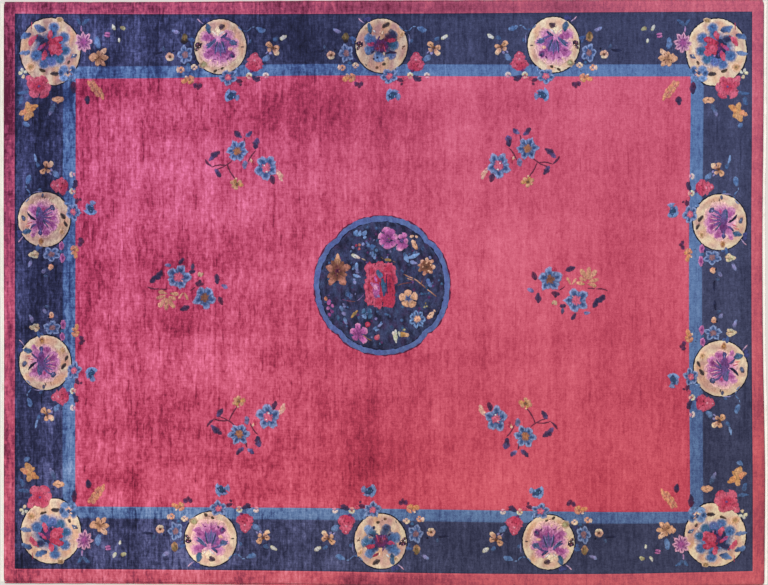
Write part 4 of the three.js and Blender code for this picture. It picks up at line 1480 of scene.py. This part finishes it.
MEDALLION = chart("""
petal   22 -216  -20 -234 34  0 plum/magenta/pink/pale_orchid
petal   26 -222   12 -272 36  0 plum/magenta/pink/pale_orchid
petal   32 -220   52 -262 34  0 plum/magenta/pink
petal   36 -214   74 -232 34  0 plum/pink/pale_orchid
petal   36 -206   58 -176 34  0 plum/magenta/pink/pale_orchid
petal   28 -204   20 -164 36  0 plum/magenta/pink/orchid
petal   22 -208  -16 -192 32  0 plum/magenta/pink/pale_orchid
spot    28 -214 26  24 0 violet/plum/magenta
spot    30 -216 10   9 0 olive
petal   90 -210   78 -240 26  0 magenta/pink/pale_orchid
petal   92 -212  110 -246 28  0 plum/pink/orchid
petal   94 -206  124 -206 28  0 plum/pink/pale_orchid
petal   92 -202  112 -170 30  0 plum/magenta/pink
petal   86 -202   78 -156 30  0 plum/pink/pale_orchid
petal   84 -208   58 -196 24  0 magenta/pink
spot    90 -208 16  16 0 plum/violet
vein    10 -238    4 -256  7  0 plum
vein    48 -226   62 -232  7  0 plum/magenta
vein    40 -192   52 -180  7  0 plum
vein    98 -228  104 -240  6  0 plum
vein   104 -188  110 -176  6  0 plum/magenta
leaf  -130 -224 -114 -258 20  0 blue/pale_sky
leaf  -108 -222 -100 -256 18  0 sky/pale_sky/sky
leaf   -90 -222  -72 -256 22  0 blue/sky/pale_sky
leaf   -92 -220  -68 -222 14  0 pale_sky/sky
leaf  -100 -228 -128 -232 12  0 teal/sky
leaf   -78 -204  -62 -188 14  0 blue/sky
leaf   -84 -200  -92 -178 14  0 sky/lilac
leaf  -144 -180 -124 -166 13  0 lilac/slate
leaf  -138 -162 -150 -148 10  0 sky/slate
petal -112 -178  -98 -192 15  0 brown/clay
petal -112 -178 -126 -188 14  0 maroon/crimson
petal -110 -176 -102 -160 15  0 brown/rose
leaf   -30 -272  -24 -254 13  0 slate/blue
leaf   -70 -172  -58 -196 13  0 blue/pale_sky
leaf   -52 -192  -38 -158 24  0 blue/blue/sky
leaf   -34 -172  -18 -152 16  0 teal/sky
leaf   -44 -160  -32 -116 20  0 blue/sky/pale_sky
vein   -40 -176  -34 -130  7  0 navy/teal
leaf   -60 -134  -48 -158 12  0 slate/sky
leaf  -146 -142  -98 -124 20  0 green/white/cream
vein  -134 -136 -112 -128  6  0 olive
twig   -98 -126  -72 -112  6  0 cream/olive
leaf     8 -122   46 -114 14  0 gold/olive/gold
twig    -8 -134    8 -120  5  0 olive
twig    46 -114   66 -106  6  0 olive/brown
leaf   124 -222  150 -232 14  0 cream/peach
leaf   150 -232  166 -220 13  0 peach/cream
leaf   138 -216  164 -164 22  3 cream/peach/ochre
vein   148 -200  158 -178  6  0 brown/olive
leaf   106 -150  124 -102 20  3 blue/pale_sky/sky
leaf   114 -122  178 -152 20  0 sky/pale_sky/sky
leaf   124 -112  166 -102 17  0 sky/lilac
leaf   104 -158  100 -128 12  0 slate/blue
leaf   112 -100  134  -92 11  0 navy/slate
leaf   140 -142  156 -164 11  0 blue/slate
spot   204  -88 60  56 0 earth/brown/brown
leaf   202  -96  176 -122 20  0 brown/clay/cream
leaf   206  -98  208 -136 20  0 clay/peach/cream
leaf   212  -96  238 -124 20  0 brown/peach/clay
leaf   216  -88  250  -88 20  0 clay/peach/cream
leaf   210  -80  234  -56 20  0 brown/peach/clay
leaf   200  -78  192  -44 19  0 brown/clay/peach
leaf   194  -84  164  -66 18  0 maroon/brown/ochre
leaf   194  -92  160  -96 18  0 brown/clay/ochre
vein   196 -104  214 -108 11  0 cream/peach
vein   222 -104  228  -90 11  0 cream/peach
vein   222  -72  206  -68 11  0 peach/cream
vein   186  -80  190  -96 10  0 cream/peach
vein   200  -92  212  -84  9  0 ink/earth
leaf  -207  -64 -264  -86 34  3 maroon/brown/clay/brown
leaf  -206  -74 -236 -116 26  0 maroon/brown/brown
leaf  -205  -74 -206 -150 32  0 maroon/brown/ochre/peach
leaf  -203  -72 -176 -112 24  0 maroon/brown/brown
leaf  -200  -66 -142  -88 36 -3 maroon/brown/clay/brown
leaf  -203  -60 -158  -44 22  0 earth/brown/clay
leaf  -205  -58 -166    2 34  3 maroon/brown/clay/brown
leaf  -207  -56 -208  -24 20  0 ink/earth/brown
leaf  -209  -58 -246    4 36  0 maroon/brown/clay/brown
leaf  -211  -62 -256  -34 24  0 earth/brown/clay
spot  -206  -66 34  34 0 ink/maroon/brown
vein  -206  -84 -206 -122  8  0 maroon/peach
vein  -218  -50 -236  -20  8  0 maroon/clay
vein  -194  -46 -178  -20  8  0 maroon/clay
vein  -222  -72 -248  -80  8  0 maroon/clay
vein  -190  -70 -160  -82  8  0 maroon/clay
vein  -206  -62 -204  -44  9  0 olive/ochre
vein  -200  -72 -196  -60  8  0 ochre/olive
spot   -48  -66 64  84 0 red/crimson/rose/crimson
spot   -10  -84 66  56 0 crimson/rose/crimson
spot    28  -76 70  64 0 red/crimson/rose
spot    40  -34 66  74 0 crimson/maroon/crimson/rose
spot   -56   -2 56 100 0 crimson/red/rose/crimson
spot    34   12 60  76 0 maroon/crimson/red
spot   -50   58 66  80 0 crimson/rose/crimson
spot   -16   78 60  56 0 red/crimson/rose
spot    26   60 78  84 0 crimson/red/crimson
dab     -4   -4 96 144 0 maroon/red/crimson/red
dab    -20   10 58  98 0 magenta/pink/magenta/crimson
dab     -6  -46 34  40 0 slate/sky/slate/maroon
dab     15    8 24  96 0 navy/slate/plum/maroon
dab     34   -6 46 112 0 maroon/red/crimson
vein   -24  -78   -6  -26 30  0 teal/slate/sky
vein    -2  -52    8   64 30 -3 navy/teal/slate/navy
vein   -36  -48  -22  -10 26  0 magenta/pink/violet
vein   -56  -22  -38   12 24  0 magenta/orchid/magenta
vein   -40  -10  -20   28 28  0 pink/pale_orchid/pink
vein   -42   24  -22   64 26  0 orchid/magenta/violet
vein   -22   34   -8   62 22  0 violet/lilac/plum
vein   -14  -24  -10   26 12  0 violet/magenta/violet
vein    20  -66   26   58 16  2 maroon/navy/maroon
vein    46  -70   40  -26 13  0 maroon/red/maroon
vein    50    0   46   56 13  0 maroon/red/maroon
vein   -62  -84  -56  -36 12  0 maroon/crimson
vein   -64   -2  -58   44 12  0 maroon/red
vein   -42   62  -44   90 12  0 maroon
vein     4   66    2   98 12  0 maroon/navy
vein   -34  -90  -30 -104  8  0 maroon
vein     8  -84   12 -100  8  0 maroon/red
leaf  -118 -108 -110  -62 20  5 pale_sky/sky/lilac
leaf  -122  -86 -142  -68 12  0 slate/sky
leaf  -138  -50  -94  -36 17  0 sky/pale_sky/lilac
leaf  -132  -36 -122    0 17  0 sky/lilac/pale_sky
leaf  -142  -20 -112  -24 10  0 blue/slate
leaf  -126  -66 -104  -54 11  0 slate/lilac
leaf  -148  -94 -138 -110 10  0 navy/slate
leaf  -172   36 -132   52 22  0 slate/blue/lilac
leaf  -160   22 -140   70 18  0 navy/blue/slate
leaf  -176   56 -162   76 13  0 slate/navy
twig  -190   62 -120   74  6  4 plum/brown
twig  -120   74  -80   36  6  3 lilac/plum
twig   -82   38  -64   22  6  0 plum/lilac
twig    96  -56  146  -34  7  2 brown/peach
twig   112  -36  150  -24  6  0 peach/brown
twig   144  -36  206   14  7 -2 peach/brown
twig   204   12  254   50  7  0 peach/brown
twig    66    0  150  -16  6 -4 brown/maroon
twig   180   -8  186  -30  5  0 brown
leaf   210  -38  226   10 26  3 blue/rim_blue/sky
leaf   202  -20  206   14 12  0 navy/slate
leaf   236  -24  226    0 10  0 slate
petal  121   58  118   14 32  0 blue/ochre/peach/peach
petal  122   58  166   40 34  0 blue/ochre/peach/cream
petal  122   58  152   98 34  0 blue/ochre/peach
petal  120   58  102   98 34  0 blue/ochre/peach
petal  118   58   76   44 34  0 blue/ochre/peach/cream
star  121 58 19 5 0 pale_sky blue navy violet_blue
vein   118   40  117   28  6  0 brown/cream
vein   138   52  148   47  6  0 brown/cream
vein   134   72  141   82  6  0 brown
vein   108   72  104   82  6  0 brown
vein   102   52   92   48  6  0 brown
twig   168   40  212   34  7  0 blue/teal
star  162 152 40 44 7 0 pale_sky blue navy peach
spot   164  152 26  26 0 navy/violet/navy
spot   164  152 17  17 0 peach/rose
leaf   206  152  240  112 22  3 coral/cream/peach
vein   214  140  230  122  6  0 brown
leaf   238  116  246  108 14  0 cream
leaf   200   88  192  104 10  0 olive/green
leaf   200   90  214   96 10  0 green/olive
leaf   200   88  202   72  9  0 olive
petal -108  216 -114  170 30  0 plum/magenta/pink/pale_orchid
petal -106  218  -66  198 32  0 plum/magenta/pink/pale_orchid
petal -106  222  -72  266 34  0 plum/magenta/pink/pale_orchid
petal -110  222 -132  254 32  0 plum/magenta/pink
petal -112  218 -150  204 34  0 plum/magenta/pink/pale_orchid
spot  -108  219 26  26 0 plum/magenta
vein  -112  200 -114  184  6  0 plum
vein   -94  212  -80  206  6  0 plum
vein   -96  234  -84  250  6  0 plum
vein  -120  232 -128  246  6  0 plum
vein  -126  214 -140  208  6  0 plum
twig   -92  226  -44  254  6  3 gold/brown
leaf  -240   62 -250   96 18  0 magenta/pink
leaf  -236   84 -222  106 17  0 plum/pink/orchid
leaf  -242   96 -256  116 17  0 magenta/orchid
leaf  -238  108 -224  132 16  0 plum/magenta
leaf  -246  124 -238  150 15  0 magenta/plum
leaf  -262   48 -256   78 17  0 brown/coral/brown
leaf  -196   92 -178  124 16  0 sky/slate
leaf  -188  120 -164  142 17  0 slate/lilac/teal
leaf  -206  132 -200  166 13  0 slate/teal
leaf  -176  144 -162  184 17  0 slate/sky/lilac
leaf  -184   80 -170   96 11  0 lilac/slate
leaf  -200  166 -182  178 11  0 navy/slate
petal  -70  128  -98  112 26  0 navy/teal/pale_sky
petal  -70  128  -46  108 26  0 blue/teal/pale_sky
petal  -68  130  -44  150 26  0 navy/teal/sky
petal  -72  130  -92  152 26  0 teal/sky/pale_sky
spot   -70  129 14  14 0 navy/sky
leaf  -146  152 -110  112 14  0 gold/olive/gold
leaf  -138  130 -118  126 10  0 olive/gold
spot   -28  152 17  17 0 lilac/violet
spot   -66  180 28  26 0 rose/crimson/red
leaf   -46  204  -20  188 13  0 sky/blue
leaf   -24  190    6  172 13  0 lilac/sky
leaf   -38  208  -10  200 11  0 pale_sky/sky
leaf    -8  182   -2  162 10  0 blue/sky
bud    -34  252  -12  222 22  0 red/rose/clay
leaf    62  196   66  268 18  3 white/green/white
leaf    48  206   60  232 15  0 white/cream
leaf    76  206   84  238 13  0 green/white
bud     78  222  128  226 28  0 olive/gold/cream
vein    90  224  116  226  8  0 olive/brown
leaf    92  206  112  198 11  0 olive/green
leaf    60  100   78  132 13  0 navy/slate
leaf    86  148   96  168 14  0 slate/blue
leaf    32  126   40  150 12  0 navy/slate
leaf    24  -60   72  -72 11  0 navy/slate
leaf    84  -78  100  -58 12  0 slate/blue
leaf   210   40  222   24 12  0 slate/blue
leaf   178 -178  192 -160 11  0 navy/blue
leaf   -20  118   -6  140 12  0 navy/slate
leaf   -96  -10  -90   18 11  0 navy/slate
""")


# ---------------------------------------------------------------- grounds and layout

OUTLINE_LIFT, GROUND_LIFT = 0.25, 0.8
# The dark ring round a roundel is a painted shadow of its carved line.
SHADOW_RING = 6  # how wide the dark line round a roundel is
LONG_SIDE_HALF, SHORT_END_HALF = np.array((120, 128)), np.array((128, 121))
CORNER_HALF = np.array((139, 148))
TUCKED = 0.93  # how much nearer the flowers lie at the short ends' roundels, where the border is narrower
CREAM_VEILS = (
    ("peach", 0, 0.8), ("ochre", 1, 0.45), ("green", 2, 0.3), ("rosewood", 4, 0.6), ("pale_cream", 3, 0.6),
)
RIM_VEILS = (("violet_blue", 100, 0.35), ("slate", 500, 0.4), ("sky", 900, 0.4))
NIGHT_VEILS = (("aubergine", 300, 0.6), ("slate", 700, 0.35), ("ink", 0, 0.8))

# Border roundels: middle, way towards the blue flowers, way in to the field, how brown the cream is,
# and the charts of the peony.
ROUNDELS = [
    ((-750, 1136.3), (-1, 0), (0, -1), 0.45, PEONY + BUD_DARK),
    ((-8, 1136.2), (-1, 0), (0, -1), 0.90, LOBES_TOP + PEONY_BLUE + BUD_DARK),
    ((784, 1140), (1, 0), (0, -1), 0.15, PEONY + BUD_TAN),
    ((-792.5, -1143), (-1, 0), (0, 1), 0.40, PEONY + BUD_TAN),
    ((-10.5, -1144), (1, 0), (0, 1), 0.75, LOBES_BOTTOM + PEONY_BLUE + BUD_TAN),
    ((763, -1138.5), (1, 0), (0, 1), 0.32, PEONY + BUD_TAN),
    ((-1560, 339.5), (0, -1), (1, 0), 0.55, PEONY_END),
    ((-1555.5, -326.5), (0, 1), (1, 0), 0.35, PEONY_END),
    ((1553.5, 328), (0, -1), (-1, 0), 0.45, PEONY_END),
    ((1557, -341.5), (0, 1), (-1, 0), 0.50, PEONY_END),
]
# Corner roundels: middle, way out to the end, way in to the field, how brown the cream is.
CORNERS = [
    ((-1533, 1121.5), (-1, 0), (0, -1), 1.0), ((1533, 1109), (1, 0), (0, -1), 0.1),
    ((-1528, -1115), (-1, 0), (0, 1), 0.1), ((1527.5, -1113), (1, 0), (0, 1), 0.4),
]
# Sprays in the field: middle, the ways of the chart's first and second axes, and the chart.
SPRAYS = [
    ((-635, 610), (1, 0), (0, -1), SPRAY), ((630, 624), (-1, 0), (0, -1), SPRAY),
    ((-624, -616), (1, 0), (0, 1), SPRAY), ((622, -613), (-1, 0), (0, 1), SPRAY),
    ((-875.5, 23), (1, 0), (0, -1), SIDE_SPRAY), ((833, 19), (-1, 0), (0, 1), SIDE_SPRAY),
]
MEDALLION_MIDDLE = (0, 30.5)
CUSPS = np.radians([45.7, 132.0, 223.7, 314.4])
SPRIGS, SPRIG_REACH = 110, 278
SPRIG_DYES = (
    "navy/slate", "slate/blue", "navy/teal", "aubergine/plum",
    "ink/navy", "slate/lilac", "teal/slate", "plum/violet",
)


def disc(cloth, place, radii, dye_of, lift, around, shape=None):
    """A round ground: level, its pile falling by the eighth power of the share, so only at the rim."""
    shares = np.append(np.linspace(0, 0.985, max(3, int(radii[0] / 13)))[1:], 1.0)
    patch(
        cloth, place, (0, 0), radii, 0, dye_of, lambda angle, share: lift - 0.1 * share**8,
        shares, around, shape, 0.011,
    )


def plain(name):
    """One dye all over."""
    return lambda angle, share, local: np.tile(DYE[name], (len(local), 1))


def veiled(colour, name, veil):
    """A colour mixed with a dye by a veil's share at each point."""
    return colour * (1 - veil) + DYE[name] * veil


def cream_ground(browned):
    """A roundel's cream, browned by a share, clouded with peach, ochre and a green yellow by seeded
    waves, and paler at its rim, a painted highlight."""
    shift = rng.uniform(0, 900, 5)
    base = DYE["cream"] * (1 - browned) + DYE["rosewood"] * browned

    def dye_of(angle, share, local):
        """The base veiled by each dye in turn where its waves stand high, and then by the pale rim, a painted
        highlight.
        """
        u, v = local[:, 0], local[:, 1]
        colour = np.tile(base, (len(local), 1))
        for name, at, most in CREAM_VEILS:
            waved = summed(BLOTCH, u * 1.5 + shift[at], v * 1.1 - shift[at])
            colour = veiled(colour, name, np.clip(waved * 0.7 + 0.1, 0, 1)[:, None] * most)
        # the pale rim: a painted highlight along the roundel's edge
        edge = np.clip((share - 0.88) * 9, 0, 1)[:, None] * (0.75 - 0.45 * browned)
        return veiled(colour, "pale_cream", edge)

    return dye_of


def bulged(toward, amount):
    """A round outline that swells towards one angle, by a bell curve of the angle away from it."""
    turn = np.radians(toward)
    return lambda angle: 1 + amount * np.exp(-((((angle - turn + np.pi) % (2 * np.pi)) - np.pi) / 0.42) ** 2)


def lobed(angle):
    """The medallion's outline: round, drawn in to a point at four places, by an exponential of the angle
    away from each."""
    away = (angle[:, None] - CUSPS[None, :] + np.pi) % (2 * np.pi) - np.pi
    return 1 - 0.045 * np.exp(-np.abs(away) / 0.10).sum(1)


def clouded(base, veils, stretch):
    """One dye veiled by others, each where seeded waves, stretched and shifted for it, stand above
    nothing."""

    def dye_of(angle, share, local):
        """The base dye all over, veiled by each other dye in turn."""
        colour = np.tile(DYE[base], (len(local), 1))
        for name, at, most in veils:
            waved = summed(BLOTCH, local[:, 0] * stretch[0] + at, local[:, 1] * stretch[1] - at)
            colour = veiled(colour, name, np.clip(waved, 0, 1)[:, None] * most)
        return colour

    return dye_of


# The medallion's grounds, each on the one before: half sizes, dye, lift. The navy is the last.
MEDALLION_RINGS = [
    ((321, 327), plain("maroon"), OUTLINE_LIFT),
    ((316, 322), clouded("rim_blue", RIM_VEILS, (4.0, 2.2)), GROUND_LIFT),
    ((293, 299), plain("ink"), 0.95),
]
NIGHT_HALF, NIGHT_LIFT = (290, 296), 1.25

shadow_rings, grounds, borders, corners, sprays, bloomed = (Cloth() for _ in range(6))
for middle, first, second, browned, peony in ROUNDELS:
    on_long_side = first[0] != 0
    flat = Place(middle, first, second)
    half = LONG_SIDE_HALF if on_long_side else SHORT_END_HALF
    # a dark ink ring under each roundel's edge: painted shadow of its carved line
    disc(shadow_rings, flat, half + SHADOW_RING, plain("ink"), OUTLINE_LIFT, 72)
    disc(grounds, flat, half, cream_ground(browned), GROUND_LIFT, 96)
    raised = around = Place(middle, first, second, [(half, GROUND_LIFT)])
    knot(borders, raised, peony)
    if not on_long_side:
        around = Place(middle, first, np.multiply(second, TUCKED), [(half / (1, TUCKED), GROUND_LIFT)])
    for rows in (BORDER_GROUP, LONG_SIDE_DETAILS if on_long_side else SHORT_END_DETAILS):
        knot(borders, around, rows)
for middle, first, second, browned in CORNERS:
    flat = Place(middle, first, second)
    disc(shadow_rings, flat, CORNER_HALF + SHADOW_RING, plain("ink"), OUTLINE_LIFT, 80, bulged(105, 0.08))
    disc(grounds, flat, CORNER_HALF, cream_ground(browned), GROUND_LIFT, 104, bulged(105, 0.08))
    knot(corners, Place(middle, first, second, [(CORNER_HALF, GROUND_LIFT)]), CORNER_GROUP)
for middle, first, second, rows in SPRAYS:
    knot(sprays, Place(middle, first, second), rows)

at_middle = Place(MEDALLION_MIDDLE, (1, 0), (0, -1))
for radii, dye_of, lift in MEDALLION_RINGS:
    disc(grounds, at_middle, radii, dye_of, lift, 144, lobed)
disc(bloomed, at_middle, NIGHT_HALF, clouded("navy_pile", NIGHT_VEILS, (2.6, 1.8)), NIGHT_LIFT, 144, lobed)
on_navy = Place(MEDALLION_MIDDLE, (1, 0), (0, -1), [((300, 300), NIGHT_LIFT)], "navy")
# Small dark sprigs over the navy: turn and share of the way out, way they point, and length.
spans = ((0, 6.283), (0.2, 0.95), (0, 6.283), (10, 24))
for turn, out, way, size in zip(*(rng.uniform(low, high, SPRIGS) for low, high in spans)):
    at = SPRIG_REACH * np.sqrt(out) * np.array([np.cos(turn), np.sin(turn)])
    dyes = SPRIG_DYES[int(size * 1000) % len(SPRIG_DYES)]
    tip = at + size * np.array([np.cos(way), np.sin(way)])
    blade(bloomed, on_navy, at, tip, 9 + size / 4, 0, [dyes], 0.7)
knot(bloomed, on_navy, MEDALLION)

flat_pieces = [
    shadow_rings.piece("roundel_shadow_rings", [GROUND_WOOL], "wool_pile"),
    grounds.piece("roundel_grounds", [GROUND_WOOL], "wool_pile"),
    borders.piece("border_flowers", [MOTIF_WOOL], "wool_pile"),
    corners.piece("corner_flowers", [MOTIF_WOOL], "wool_pile"),
    sprays.piece("field_sprays", [MOTIF_WOOL], "wool_pile"),
    bloomed.piece("medallion_flowers", [MOTIF_WOOL], "wool_pile"),
]

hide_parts("carpet")
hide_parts("end_web_left")
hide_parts("end_web_right")

# ---------------------------------------------------------------- floor

FLOOR_REACH, FLOOR_LEVEL = 8, -0.0004
FLOOR_TURNS = ((-1, -1), (1, -1), (1, 1), (-1, 1))

floor_points = [(x * FLOOR_REACH, y * FLOOR_REACH, FLOOR_LEVEL) for x, y in FLOOR_TURNS]
floor_mesh = bpy.data.meshes.new("floor")
floor_mesh.from_pydata(floor_points, [], [(0, 1, 2, 3)])
floor_mesh.materials.append(begun("floor", FLOOR_FINISH)[0])
floor = bpy.data.objects.new("floor", floor_mesh)
scene.collection.objects.link(floor)
